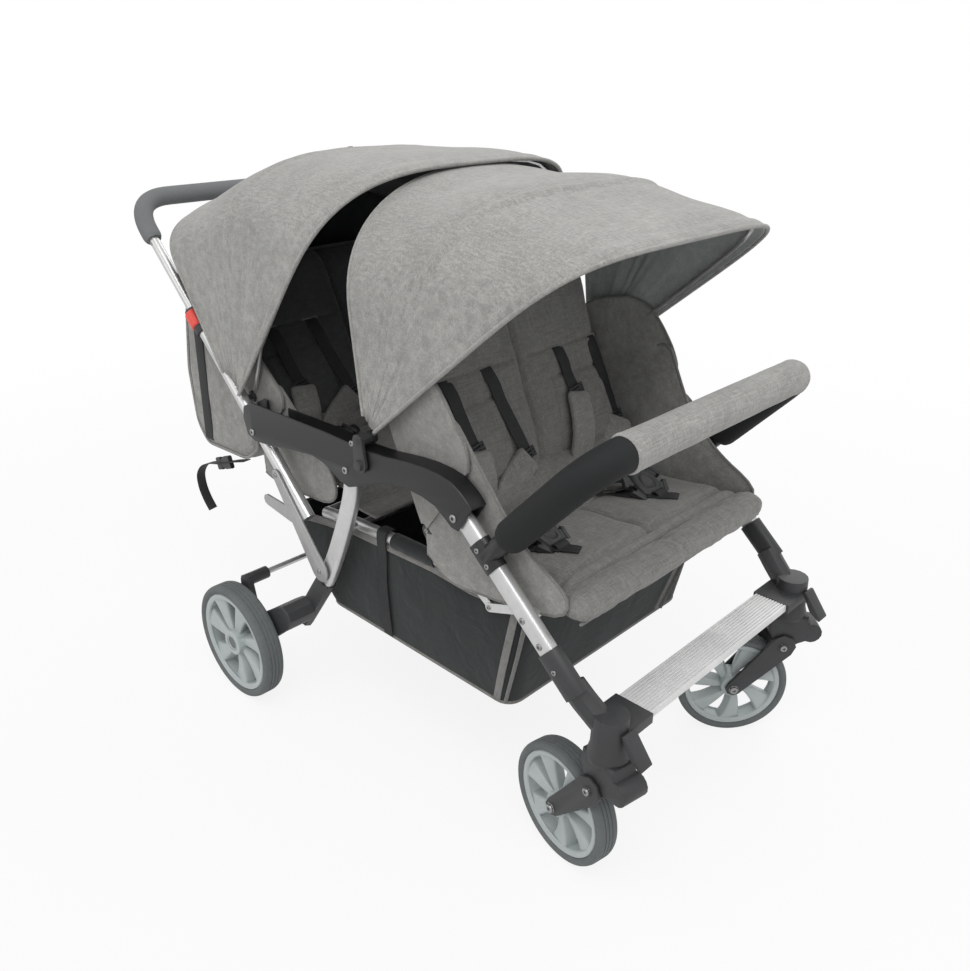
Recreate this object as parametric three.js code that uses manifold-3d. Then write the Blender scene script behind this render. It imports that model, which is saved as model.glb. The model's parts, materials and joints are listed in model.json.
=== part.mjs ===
// Four seat daycare stroller: two rows of two seats on a folding aluminium frame.
// Millimetres, +Z up, the front looks along -Y, and the left side is +X.
import * as THREE from 'three';
import { mergeVertices } from 'three/addons/utils/BufferGeometryUtils.js';
import Module from 'manifold-3d';

const wasm = await Module();
wasm.setup();

// Clearances and steps
const gap = 0.3; // between pieces that touch or turn on each other
const overrun = 60; // how far a cut runs past what it cuts
const weldDistance = 1e-4; // vertices closer than this are one
const flatness = 0.03; // a vertex that stands out less than this is left out
const tubeSides = 6; // half the sides of a round tube
const boreSides = 6;
const pinSides = 7;
const degree = Math.PI / 180;

// Driving dimensions of the frame. A place in the side plane is [y, z].
const sideX = 285; // middle plane to the centre of each side frame
const frontPin = [285, 553]; // front leg pivot in the armrest casing
const rearPin = [546, 551]; // rear leg pivot in the armrest casing
const handlePin = [828, 542]; // handle tube pivot in the armrest casing
const legWidth = 20;
const frontLegDepth = 32;
const rearLegDepth = 34;
const frontLegTop = [292, 563];
const frontLegEnd = [62, 356];
const handleTubeRadius = 12.5;
const handleUpperRadius = 10;
const handleLow = [691, 404]; // lower end of the handle tube
const handleTop = [1005, 718]; // upper end of the lower handle tube
const handleCorner = [1212, 925]; // where the grip bar would meet the side tubes
const handleInserted = 130; // length of upper tube inside the lower tube
const handleTravel = 120; // how far the handle telescopes in
const gripStart = [1142, 855];
const gripRadius = 18;

// Driving dimensions of the wheels and casters
const frontWheelRadius = 103;
const rearWheelRadius = 119;
const wheelSides = 32;
const casterIn = 17; // how far each swivel axis stands inside the side frame
const casterX = sideX - casterIn;
const casterTrail = 88;
const steerRight = -10; // degrees, how the casters stand at rest
const steerLeft = 43.4;
const rearAxleY = 827;
const rearWheelOut = 95; // side frame to the middle of each rear wheel
const rearWheelX = sideX + rearWheelOut;

// Driving dimensions of the seats, canopies and basket
const railIn = 41; // side frame to the rails of the seat frame
const railX = sideX - railIn;
const railRadius = 11;
const crossRadius = 9;
const seatOver = 10; // how far the seats and the basket stand out past the rails
const backUnder = 4;
const seatHalfWidth = railX + seatOver;
const backHalfWidth = railX - backUnder;
const backAngle = 68.4;
const canopyOver = 5; // how far the canopies stand out past the side frame
const canopyHalfWidth = sideX + canopyOver;
const canopyRest = 1.6; // half the thickness of canopy cloth with its lining

// Materials, from the photograph
const plain = (colour, roughness, metalness) =>
  new THREE.MeshStandardMaterial({ color: colour, roughness, metalness });
const aluminium = plain(0xbcbdba, 0.38, 0.9);
const greyPlate = plain(0xa9aaa7, 0.5, 0.6);
const blackPlastic = plain(0x35373a, 0.55, 0);
const rimPlastic = plain(0x9ba6a6, 0.5, 0);
const tyreRubber = plain(0x4b5151, 0.8, 0);
const foam = plain(0x3a3f40, 0.9, 0);
const redPlastic = plain(0xe0412f, 0.4, 0);
const greyCloth = plain(0x8a8882, 0.95, 0);
const blackCloth = plain(0x25292c, 0.9, 0);
const steel = plain(0x8f9496, 0.4, 0.9);

const stroller = new THREE.Group();

// Solids and geometry

function solidOf(geometry) {
  const bare = geometry.clone();
  bare.deleteAttribute('normal');
  bare.deleteAttribute('uv');
  const merged = mergeVertices(bare, weldDistance);
  const vertProperties = new Float32Array(merged.attributes.position.array);
  const triVerts = new Uint32Array(merged.index.array);
  return new wasm.Manifold(new wasm.Mesh({ numProp: 3, vertProperties, triVerts }));
}

function geometryOf(solid) {
  const mesh = solid.getMesh();
  const geometry = new THREE.BufferGeometry();
  geometry.setAttribute('position', new THREE.BufferAttribute(new Float32Array(mesh.vertProperties), 3));
  geometry.setIndex(new THREE.BufferAttribute(new Uint32Array(mesh.triVerts), 1));
  geometry.computeVertexNormals();
  return geometry;
}

function join(first, ...others) {
  return others.reduce((whole, next) => whole.add(next), first);
}

function cut(first, ...others) {
  return others.reduce((whole, next) => whole.subtract(next), first);
}

function mirrored(geometry) {
  const copy = geometry.clone();
  copy.scale(-1, 1, 1);
  const index = copy.index.array;
  for (let corner = 0; corner < index.length; corner += 3) {
    const kept = index[corner];
    index[corner] = index[corner + 1];
    index[corner + 1] = kept;
  }
  copy.computeVertexNormals();
  return copy;
}

function addPiece(name, solid, material, parent = stroller) {
  const mesh = new THREE.Mesh(geometryOf(solid.simplify(flatness)), material);
  mesh.name = name;
  parent.add(mesh);
  return mesh;
}

// The solid is drawn for the left side, +X, and the right piece is its mirror image.
function addPair(name, solid, material) {
  addPiece(`${name}_left`, solid, material);
  const right = new THREE.Mesh(mirrored(geometryOf(solid.simplify(flatness))), material);
  right.name = `${name}_right`;
  stroller.add(right);
}

// Profiles

// A side profile has its first axis along +Y and its second along +Z, and is drawn out along +X.
const sideBasis = new THREE.Matrix4().makeBasis(
  new THREE.Vector3(0, 1, 0),
  new THREE.Vector3(0, 0, 1),
  new THREE.Vector3(1, 0, 0),
);

function sidePlate(shape, xFrom, xTo, bevel = 0) {
  const geometry = new THREE.ExtrudeGeometry(shape, {
    depth: xTo - xFrom - 2 * bevel,
    bevelEnabled: bevel > 0,
    bevelThickness: bevel,
    bevelSize: bevel,
    bevelOffset: -bevel,
    bevelSegments: 1,
    curveSegments: 5,
  });
  geometry.applyMatrix4(sideBasis);
  geometry.translate(xFrom + bevel, 0, 0);
  return solidOf(geometry);
}

function outline(points) {
  return new THREE.Shape(points.map(([y, z]) => new THREE.Vector2(y, z)));
}

// The convex outline that a belt takes round circles, each [y, z, radius]
function belt(circles, steps = 10) {
  const spots = [];
  for (const [y, z, radius] of circles) {
    for (let step = 0; step < steps; step += 1) {
      const turn = (2 * Math.PI * step) / steps;
      spots.push([y + radius * Math.cos(turn), z + radius * Math.sin(turn)]);
    }
  }
  spots.sort((a, b) => a[0] - b[0] || a[1] - b[1]);
  const bend = (a, b, c) => (b[0] - a[0]) * (c[1] - a[1]) - (b[1] - a[1]) * (c[0] - a[0]);
  const half = (list) => {
    const kept = [];
    for (const spot of list) {
      while (kept.length > 1 && bend(kept[kept.length - 2], kept[kept.length - 1], spot) <= 0) {
        kept.pop();
      }
      kept.push(spot);
    }
    kept.pop();
    return kept;
  };
  return outline([...half(spots), ...half([...spots].reverse())]);
}

function rodAlongX(radius, xFrom, xTo, [y, z], sides = 2 * tubeSides) {
  const geometry = new THREE.CylinderGeometry(radius, radius, xTo - xFrom, sides);
  geometry.rotateZ(Math.PI / 2);
  geometry.translate((xFrom + xTo) / 2, y, z);
  return solidOf(geometry);
}

function rodAlongZ(radiusLow, radiusHigh, zFrom, zTo, [x, y], sides = 20) {
  const geometry = new THREE.CylinderGeometry(radiusHigh, radiusLow, zTo - zFrom, sides);
  geometry.rotateX(Math.PI / 2);
  geometry.translate(x, y, (zFrom + zTo) / 2);
  return solidOf(geometry);
}

function box([xFrom, xTo], [yFrom, yTo], [zFrom, zTo]) {
  const geometry = new THREE.BoxGeometry(xTo - xFrom, yTo - yFrom, zTo - zFrom);
  geometry.translate((xFrom + xTo) / 2, (yFrom + yTo) / 2, (zFrom + zTo) / 2);
  return solidOf(geometry);
}

// A closed ring turned about the X axis, from a profile of [radius, x] that closes on itself
function turnedRing(profile, sides) {
  const closed = [...profile, profile[0]];
  const geometry = new THREE.LatheGeometry(closed.map(([r, x]) => new THREE.Vector2(r, x)), sides);
  geometry.rotateY(Math.PI / sides);
  geometry.rotateZ(-Math.PI / 2);
  return solidOf(geometry);
}

// Tubes

// A path through stations, with its rings square to the bisector at each one
class StationPath extends THREE.Curve {
  constructor(stations) {
    super();
    this.stations = stations;
  }
  getPointAt(share, target = new THREE.Vector3()) {
    const place = share * (this.stations.length - 1);
    const before = Math.min(Math.floor(place + weldDistance), this.stations.length - 1);
    const after = Math.min(before + 1, this.stations.length - 1);
    return target.lerpVectors(this.stations[before], this.stations[after], place - before);
  }
  getPoint(share, target) {
    return this.getPointAt(share, target);
  }
  getSpacedPoints() {
    return this.stations.map((station) => station.clone());
  }
  getTangentAt(share, target = new THREE.Vector3()) {
    const here = Math.round(share * (this.stations.length - 1));
    const last = this.stations.length - 1;
    const arriving = new THREE.Vector3();
    const leaving = new THREE.Vector3();
    if (here > 0) {
      arriving.subVectors(this.stations[here], this.stations[here - 1]).normalize();
    }
    if (here < last) {
      leaving.subVectors(this.stations[here + 1], this.stations[here]).normalize();
    }
    return target.addVectors(arriving, leaving).normalize();
  }
}

// Points [x, y, z], with each inner corner rounded over the given distance from the corner
function roundedStations(points, reach, steps = 5) {
  const corners = points.map((point) => new THREE.Vector3(...point));
  const stations = [corners[0]];
  for (let at = 1; at < corners.length - 1; at += 1) {
    const from = corners[at].clone().sub(corners[at - 1]).setLength(reach);
    const to = corners[at + 1].clone().sub(corners[at]).setLength(reach);
    const start = corners[at].clone().sub(from);
    const end = corners[at].clone().add(to);
    stations.push(...new THREE.QuadraticBezierCurve3(start, corners[at], end).getPoints(steps));
  }
  stations.push(corners[corners.length - 1]);
  return stations;
}

function roundSection(radius, bore = 0) {
  const shape = new THREE.Shape();
  shape.absarc(0, 0, radius, 0, 2 * Math.PI);
  if (bore > 0) {
    const spots = [];
    const reach = bore / Math.cos(Math.PI / boreSides);
    for (let corner = boreSides; corner > 0; corner -= 1) {
      const turn = (2 * Math.PI * corner) / boreSides;
      spots.push(new THREE.Vector2(reach * Math.cos(turn), reach * Math.sin(turn)));
    }
    shape.holes.push(new THREE.Path(spots));
  }
  return shape;
}

// A flat sided section with round ends, width across the stroller and depth in the side plane
function ovalSection(width, depth) {
  const round = width / 2;
  const reach = depth / 2 - round;
  const shape = new THREE.Shape();
  shape.absarc(0, reach, round, 0, Math.PI);
  shape.absarc(0, -reach, round, Math.PI, 2 * Math.PI);
  return shape;
}

function sweep(section, stations, curveSegments = tubeSides) {
  const extrudePath = new StationPath(stations);
  const steps = stations.length - 1;
  const geometry = new THREE.ExtrudeGeometry(section, { steps, extrudePath, curveSegments });
  return solidOf(geometry);
}

const inPlane = (x, points) => points.map(([y, z]) => new THREE.Vector3(x, y, z));

// A place at a distance along the line from one place to another in the side plane
function along(from, to, distance) {
  const length = Math.hypot(to[0] - from[0], to[1] - from[1]);
  const share = distance / length;
  return [from[0] + (to[0] - from[0]) * share, from[1] + (to[1] - from[1]) * share];
}

function sideDistance(from, to) {
  return Math.hypot(to[0] - from[0], to[1] - from[1]);
}

// Armrest casings: a moulded channel, open below and at both ends, that holds the three pivots

const casingDepth = 62;
const casingWall = 4;
const channelHalf = handleTubeRadius + 0.6;
const casingHalf = channelHalf + casingWall;
const casingSlotLength = 150; // top slot that the handle tube folds into, from the handle pin
// Notch in the inner wall for the stud of the rear canopy clamp, from the handle pin
const clampNotchFar = 80;
const clampNotchNear = 14;
const clampNotchLow = 10;
const casingLug = 6; // radius of the screw heads on the pins
const screwProud = 1.2;
const casingSpan = handlePin[0] - frontPin[0];
const casingTopShares = [
  [1.052, 0.19], [1.028, 0.71], [0.92, 0.79], [0.803, 0.8], [0.599, 0.85], [0.446, 0.823], [0.317, 0.84],
  [0.171, 1.0], [0.077, 1.016], [0.007, 0.92], [-0.042, 0.66], [-0.07, 0.42],
];
const casingLowShares = [
  [-0.015, -0.32], [0.02, -0.26], [0.061, 0.03], [0.123, 0.18], [0.219, 0.21], [0.335, -0.03],
  [0.422, -0.355], [0.479, -0.53], [0.53, -0.387], [0.586, -0.16], [0.663, -0.065], [0.807, -0.24],
  [0.967, -0.47], [1.033, -0.34],
];

function casingPlace([alongShare, upShare]) {
  return new THREE.Vector2(frontPin[0] + alongShare * casingSpan, frontPin[1] + upShare * casingDepth);
}

function armrestCasing() {
  const top = new THREE.SplineCurve(casingTopShares.map(casingPlace)).getPoints(16);
  const low = new THREE.SplineCurve(casingLowShares.map(casingPlace)).getPoints(17);
  const shape = new THREE.Shape([...top, ...low]);
  const body = sidePlate(shape, sideX - casingHalf, sideX + casingHalf, casingWall / 2);
  const lowered = top.slice(2).map((spot) => new THREE.Vector2(spot.x, spot.y - casingWall));
  const first = lowered[0];
  const last = lowered[lowered.length - 1];
  const channel = new THREE.Shape([
    new THREE.Vector2(first.x + overrun, first.y - casingWall),
    ...lowered,
    new THREE.Vector2(last.x - overrun, last.y - overrun),
    new THREE.Vector2(last.x - overrun, last.y - 4 * overrun),
    new THREE.Vector2(first.x + overrun, first.y - 4 * overrun),
  ]);
  const inside = sidePlate(channel, sideX - channelHalf, sideX + channelHalf);
  const slot = box(
    [sideX - channelHalf, sideX + channelHalf],
    [handlePin[0] - casingSlotLength, handlePin[0] + overrun],
    [handlePin[1], handlePin[1] + 2 * overrun],
  );
  const clampNotch = box(
    [sideX - casingHalf - gap, sideX - channelHalf + gap],
    [handlePin[0] - clampNotchFar, handlePin[0] - clampNotchNear],
    [handlePin[1] + clampNotchLow, handlePin[1] + 2 * overrun],
  );
  const face = sideX + casingHalf;
  const heads = [frontPin, rearPin, handlePin].map((pin) =>
    rodAlongX(casingLug, face - casingWall / 2, face + screwProud, pin, pinSides));
  return join(cut(body, inside, slot, clampNotch), ...heads);
}

addPair('armrest_casing', armrestCasing(), blackPlastic);

// Front legs: flat sided tube with a pivot boss at the top and rivet heads on the outer face

const pivotBoss = 11;
const rivetRadius = 4;
const braceOnLeg = [150, 430]; // rivet that carries the folding brace

function frontLeg() {
  const tube = sweep(ovalSection(legWidth, frontLegDepth), inPlane(sideX, [frontLegTop, frontLegEnd]), 3);
  const boss = rodAlongX(pivotBoss, sideX - channelHalf + gap, sideX + channelHalf - gap, frontPin);
  const face = sideX + legWidth / 2;
  const rivets = [braceOnLeg, along(braceOnLeg, frontLegEnd, frontLegDepth * 1.4)].map((spot) =>
    rodAlongX(rivetRadius, face - screwProud, face + screwProud, spot, pinSides));
  return join(tube, boss, ...rivets);
}

addPair('front_leg', frontLeg(), aluminium);

// Bumper bar sockets: a sleeve on each front leg with a barrel that the bar plugs into

const sleeveWall = 4;
const socketAt = [228, 505.5]; // where the socket sits on the leg
const socketLength = 50;
const barrelRadius = 16;
const barrelLength = 60;
const bumperRadius = 9;
const bumperPadRadius = 27;
const bumperSeat = 21; // from the leg axis to the end of the bar in the barrel
const bumperCornerPlace = [42, 704];
const bumperBend = 70;
const bumperCornerIn = 2;
const bumperCornerX = sideX - bumperCornerIn;
const boreGap = 0.5;

const legTowardsTop = (spot, distance) => along(spot, frontLegTop, distance);

function bumperSocket() {
  const low = legTowardsTop(socketAt, -socketLength / 2);
  const high = legTowardsTop(socketAt, socketLength / 2);
  const section = ovalSection(legWidth + 2 * sleeveWall, frontLegDepth + 2 * sleeveWall);
  const sleeve = sweep(section, inPlane(sideX, [low, high]), 3);
  const barrelEnd = along(socketAt, bumperCornerPlace, barrelLength);
  const barrel = sweep(roundSection(barrelRadius), inPlane(sideX, [socketAt, barrelEnd]));
  const legSection = ovalSection(legWidth + 2 * gap, frontLegDepth + 2 * gap);
  const legHole = sweep(legSection, inPlane(sideX, [frontLegTop, frontLegEnd]), 3);
  const boreFrom = along(socketAt, bumperCornerPlace, bumperSeat - gap);
  const boreTo = along(socketAt, bumperCornerPlace, barrelLength + overrun);
  const bore = sweep(roundSection(bumperRadius + boreGap), inPlane(sideX, [boreFrom, boreTo]));
  const face = sideX + legWidth / 2 + sleeveWall;
  const screws = [-0.28, 0.28].map((share) => {
    const spot = legTowardsTop(socketAt, share * socketLength);
    return rodAlongX(rivetRadius, face - screwProud, face + screwProud, spot, pinSides);
  });
  return join(cut(join(sleeve, barrel), legHole, bore), ...screws);
}

addPair('bumper_socket', bumperSocket(), blackPlastic);

// Bumper bar: one bent tube that plugs into both sockets, in a foam and cloth pad

function acrossStations(from, corner, cornerX, reach) {
  const points = [
    [sideX, ...from],
    [cornerX, ...corner],
    [-cornerX, ...corner],
    [-sideX, ...from],
  ];
  return roundedStations(points, reach, 5);
}

const bumperFrom = along(socketAt, bumperCornerPlace, bumperSeat);
const bumperPadFrom = along(socketAt, bumperCornerPlace, barrelLength + gap);
const bumperStations = acrossStations(bumperFrom, bumperCornerPlace, bumperCornerX, bumperBend);
const padStations = acrossStations(bumperPadFrom, bumperCornerPlace, bumperCornerX, bumperBend);
addPiece('bumper_bar', sweep(roundSection(bumperRadius), bumperStations, 5), steel);
const padSection = roundSection(bumperPadRadius, bumperRadius + boreGap);
addPiece('bumper_pad', sweep(padSection, padStations, 5), foam);

// Footplate: a ribbed aluminium extrusion between the front brackets

const footplateShort = 65; // swivel axis to each end of the footplate
const footplateHalf = casterX - footplateShort;
const footplateFront = -24.6;
const footplateRear = 35.3;
const footplateTop = 309.4;
const footplateThick = 13;
const ribCount = 8;
const ribDepth = 2.4;

function footplate() {
  const pitch = (footplateRear - footplateFront) / ribCount;
  const spots = [[footplateFront, footplateTop - footplateThick]];
  for (let rib = 0; rib < ribCount; rib += 1) {
    const from = footplateFront + rib * pitch;
    spots.push([from, footplateTop - ribDepth]);
    spots.push([from + pitch * 0.18, footplateTop]);
    spots.push([from + pitch * 0.72, footplateTop]);
    spots.push([from + pitch * 0.9, footplateTop - ribDepth]);
  }
  spots.push([footplateRear, footplateTop - ribDepth]);
  spots.push([footplateRear, footplateTop - footplateThick]);
  return sidePlate(outline(spots.reverse()), -footplateHalf, footplateHalf);
}

addPiece('footplate', footplate(), aluminium);

// Front brackets: a sleeve for the leg, the swivel housing and the end of the footplate in one moulding

const housingRadius = 29;
const housingTop = 331;
const housingLow = 262;
const skirtRadius = 33;
const skirtHeight = 14;
const stemRadius = 11;
const stemTop = 318;
const bracketSleeveLength = 62;
const footEndThick = 17;
const footEndLip = 4;
const footEndProud = 1; // how far the foot end stands over the footplate
const housingTaper = 2;

function frontBracket() {
  const section = ovalSection(legWidth + 2 * sleeveWall, frontLegDepth + 2.6 * sleeveWall);
  const sleeveTop = legTowardsTop(frontLegEnd, bracketSleeveLength - sleeveWall);
  const sleeveLow = legTowardsTop(frontLegEnd, -footEndThick);
  const sleeve = sweep(section, inPlane(sideX, [sleeveTop, sleeveLow]), 3);
  const neckTop = [sideX - 2 * sleeveWall, frontLegEnd[0] - legWidth, frontLegEnd[1] - legWidth];
  const neck = sweep(roundSection(frontLegDepth / 2 + sleeveWall), [
    new THREE.Vector3(sideX - sleeveWall, frontLegEnd[0], frontLegEnd[1]),
    new THREE.Vector3(...neckTop),
    new THREE.Vector3(casterX, 0, housingTop - skirtRadius),
  ], 4);
  const skirtTop = housingLow + skirtHeight;
  const swivel = [casterX, 0];
  const housingUpper = housingRadius - housingTaper;
  const housing = rodAlongZ(housingRadius, housingUpper, skirtTop, housingTop, swivel, 16);
  const skirt = rodAlongZ(skirtRadius, housingRadius, housingLow, skirtTop, swivel, 16);
  const plateHigh = footplateTop + footEndProud;
  const foot = box(
    [footplateHalf + gap, casterX],
    [footplateFront - footEndLip, footplateRear + footEndLip],
    [plateHigh - footEndThick, plateHigh],
  );
  const legSection = ovalSection(legWidth + 2 * gap, frontLegDepth + 2 * gap);
  const legHoleEnd = legTowardsTop(frontLegEnd, -gap);
  const legHole = sweep(legSection, inPlane(sideX, [frontLegTop, legHoleEnd]), 3);
  const stemBore = stemRadius + 3 * gap;
  const bore = rodAlongZ(stemBore, stemBore, housingLow - overrun, stemTop + gap, swivel, 12);
  const underRadius = 2 * skirtRadius;
  const under = rodAlongZ(underRadius, underRadius, housingLow - overrun, housingLow, swivel, 12);
  const face = sideX + legWidth / 2 + sleeveWall;
  const screwAt = legTowardsTop(frontLegEnd, bracketSleeveLength * 0.45);
  const screw = rodAlongX(rivetRadius, face - screwProud, face + screwProud, screwAt, pinSides);
  return join(cut(join(sleeve, neck, housing, skirt, foot), legHole, bore, under), screw);
}

addPair('front_bracket', frontBracket(), blackPlastic);

// Caster locks: a small lever on the front of each swivel housing that drops to hold the caster straight

const lockHalfWidth = 13;
const lockBoss = 4;
const lockSeat = 0.6; // how far the boss sits in the housing
const lockDrop = 19; // top of the housing to the lever's pivot
const elbowDrop = 45;
const elbowRound = 6;
const tipRise = 10; // foot of the housing to the lever's tip
const tipRound = 3;
const lockPivot = [-housingRadius - lockBoss + lockSeat, housingTop - lockDrop];
const lockElbow = [-housingRadius * 1.7, housingTop - elbowDrop, elbowRound];
const lockTip = [-housingRadius * 2.2, housingLow + tipRise, tipRound];

function casterLock() {
  const shape = belt([[...lockPivot, lockBoss], lockElbow, lockTip], 8);
  return sidePlate(shape, casterX - lockHalfWidth, casterX + lockHalfWidth);
}

addPair('caster_lock', casterLock(), blackPlastic);

// Casters, each drawn about its own swivel axis with its trail along +Y

const wheelHalf = 20;
const wheelRoom = 3; // between a wheel and what stands beside it
const armThick = 7;
const armBevel = 1.5;
const knuckleHalf = wheelHalf + wheelRoom;
const armInner = knuckleHalf + gap;
const forkPivot = [8, 198];
const forkAxle = [casterTrail, frontWheelRadius];
const forkPinRadius = 5;
const forkPivotRound = 24;
const forkAxleRound = 15;
const boltHead = 9;
const knuckleTop = housingLow - gap;
const knuckleFlange = 10;
const flangeIn = 2; // how far the flange stands in from the skirt
const drumRadius = 19; // the round nose that holds the spring
const drumAt = [-42, 224];
const knuckleShares = [
  [-1.03, 0.94], [1.03, 0.94], [1.12, 0.58], [0.75, 0.05], [0.36, -0.22], [0, -0.25],
  [-0.62, 0.02], [-1.2, 0.14], [-1.2, 0.66],
];

function casterKnuckle() {
  const rise = knuckleTop - forkPivot[1];
  const places = knuckleShares.map(([forward, up]) => [forward * skirtRadius, forkPivot[1] + up * rise]);
  const body = sidePlate(outline(places.reverse()), -knuckleHalf, knuckleHalf, sleeveWall);
  const flangeLow = knuckleTop - knuckleFlange;
  const flangeRadius = skirtRadius - flangeIn;
  const flange = rodAlongZ(flangeRadius, flangeRadius, flangeLow, knuckleTop, [0, 0], 16);
  const stem = rodAlongZ(stemRadius, stemRadius, flangeLow, stemTop, [0, 0], 12);
  const drum = rodAlongX(drumRadius, -knuckleHalf, knuckleHalf, drumAt, 14);
  const hole = rodAlongX(forkPinRadius + boreGap, -overrun, overrun, forkPivot, 10);
  return cut(join(body, flange, stem, drum), hole);
}

function casterFork() {
  const armShape = belt([[...forkPivot, forkPivotRound], [...forkAxle, forkAxleRound]], 8);
  const arms = [armInner, -armInner - armThick].map((from) =>
    sidePlate(armShape, from, from + armThick, armBevel));
  const outer = armInner + armThick;
  const pins = [forkPivot, forkAxle].map((place) => rodAlongX(forkPinRadius, -outer, outer, place, pinSides));
  const heads = [forkPivot, forkAxle].flatMap((place) => [
    rodAlongX(boltHead, outer - gap, outer + 2 * screwProud, place, 6),
    rodAlongX(boltHead, -outer - 2 * screwProud, -outer + gap, place, 6),
  ]);
  return join(arms[0], arms[1], ...pins, ...heads);
}

// Wheels: a moulded rim with seven blades, and a solid tyre with a flat foot under the axle

const bladeCount = 7;
const tyreDepthShare = 0.135;

function wheelTyre(radius, half) {
  const inner = radius * (1 - tyreDepthShare);
  const reach = radius / Math.cos(Math.PI / wheelSides);
  const shoulder = radius * 0.965;
  return turnedRing([
    [inner, -half * 0.8], [shoulder, -half], [reach, -half * 0.62],
    [reach, half * 0.62], [shoulder, half], [inner, half * 0.8],
  ], wheelSides);
}

function wheelRim(radius, half, hubHalf, hubRadius, bore, boreFrom, boreTo) {
  const seat = radius * (1 - tyreDepthShare) - gap;
  const lip = seat * 0.9;
  const ringProfile = [[lip, -half * 0.72], [seat, -half * 0.8], [seat, half * 0.8], [lip, half * 0.72]];
  const ring = turnedRing(ringProfile, wheelSides);
  const hub = rodAlongX(hubRadius, -hubHalf, hubHalf, [0, 0], 12);
  const blade = new THREE.BoxGeometry(half * 0.9, (lip + seat) / 2, hubRadius * 0.5);
  blade.translate(0, (lip + seat) / 4, 0);
  const stretch = blade.attributes.position;
  for (let corner = 0; corner < stretch.count; corner += 1) {
    const outwards = stretch.getY(corner) / lip;
    stretch.setZ(corner, stretch.getZ(corner) * (1 + 1.5 * outwards) + hubRadius * 0.35 * outwards);
  }
  const blades = [];
  for (let turn = 0; turn < bladeCount; turn += 1) {
    const copy = blade.clone();
    copy.rotateX((2 * Math.PI * turn) / bladeCount);
    blades.push(solidOf(copy));
  }
  return cut(join(ring, hub, ...blades), rodAlongX(bore, boreFrom, boreTo, [0, 0], 10));
}

const frontHub = 21;
for (const [side, sign, steer] of [['left', 1, steerLeft], ['right', -1, steerRight]]) {
  const caster = new THREE.Group();
  caster.position.set(sign * casterX, 0, 0);
  caster.rotation.z = steer * degree;
  stroller.add(caster);
  addPiece(`caster_knuckle_${side}`, casterKnuckle(), blackPlastic, caster);
  addPiece(`caster_fork_${side}`, casterFork(), blackPlastic, caster);
  const through = knuckleHalf + overrun;
  const bore = forkPinRadius + boreGap;
  const rim = wheelRim(frontWheelRadius, wheelHalf, knuckleHalf, frontHub, bore, -through, through);
  const rimMesh = addPiece(`front_rim_${side}`, rim, rimPlastic, caster);
  rimMesh.position.set(0, ...forkAxle);
  const tyreMesh = addPiece(`front_tyre_${side}`, wheelTyre(frontWheelRadius, wheelHalf), tyreRubber, caster);
  tyreMesh.position.set(0, ...forkAxle);
}

// Rear legs: bent flat sided tube from the armrest casing to the rear bracket

const rearLegShares = [
  [0, 1.02], [0.04, 0.87], [0.19, 0.68], [0.36, 0.5], [0.54, 0.34], [0.74, 0.2], [0.96, 0.05],
];
const rearLegFoot = [743, 150];

function rearLegPlace([backShare, upShare]) {
  const back = rearPin[0] + (rearLegFoot[0] - rearPin[0]) * backShare;
  return new THREE.Vector2(back, rearLegFoot[1] + (rearPin[1] - rearLegFoot[1]) * upShare);
}

const rearLegSpline = new THREE.SplineCurve(rearLegShares.map(rearLegPlace));
const rearLegPlaces = rearLegSpline.getSpacedPoints(9).map((spot) => [spot.x, spot.y]);

function rearLeg() {
  const tube = sweep(ovalSection(legWidth, rearLegDepth), inPlane(sideX, rearLegPlaces), 3);
  const boss = rodAlongX(pivotBoss, sideX - channelHalf + gap, sideX + channelHalf - gap, rearPin);
  return join(tube, boss);
}

addPair('rear_leg', rearLeg(), aluminium);

// Rear brackets: a sleeve on the leg, a web out to the wheel, the stub axle and the clip of the brake bar

const rearAxle = [rearAxleY, rearWheelRadius];
const brakeBarAt = [838, 236];
const brakeBarRadius = 6;
const bracketPlateThick = 15;
const rearWheelHalf = 22;
const stubCollar = 4; // length of the collar between the bracket and the wheel
const plateOuterX = rearWheelX - rearWheelHalf - stubCollar;
const stubRadius = 8;
const hubCapThick = 6;
const bracketBevel = 2;
const axleRound = 32; // radii of the bracket's lobes
const legRound = 24;
const clipAxleRound = 26;
const clipRound = 13;
const webReach = 30;
const barBarrel = 12.5;
const collarRound = 24;

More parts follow.
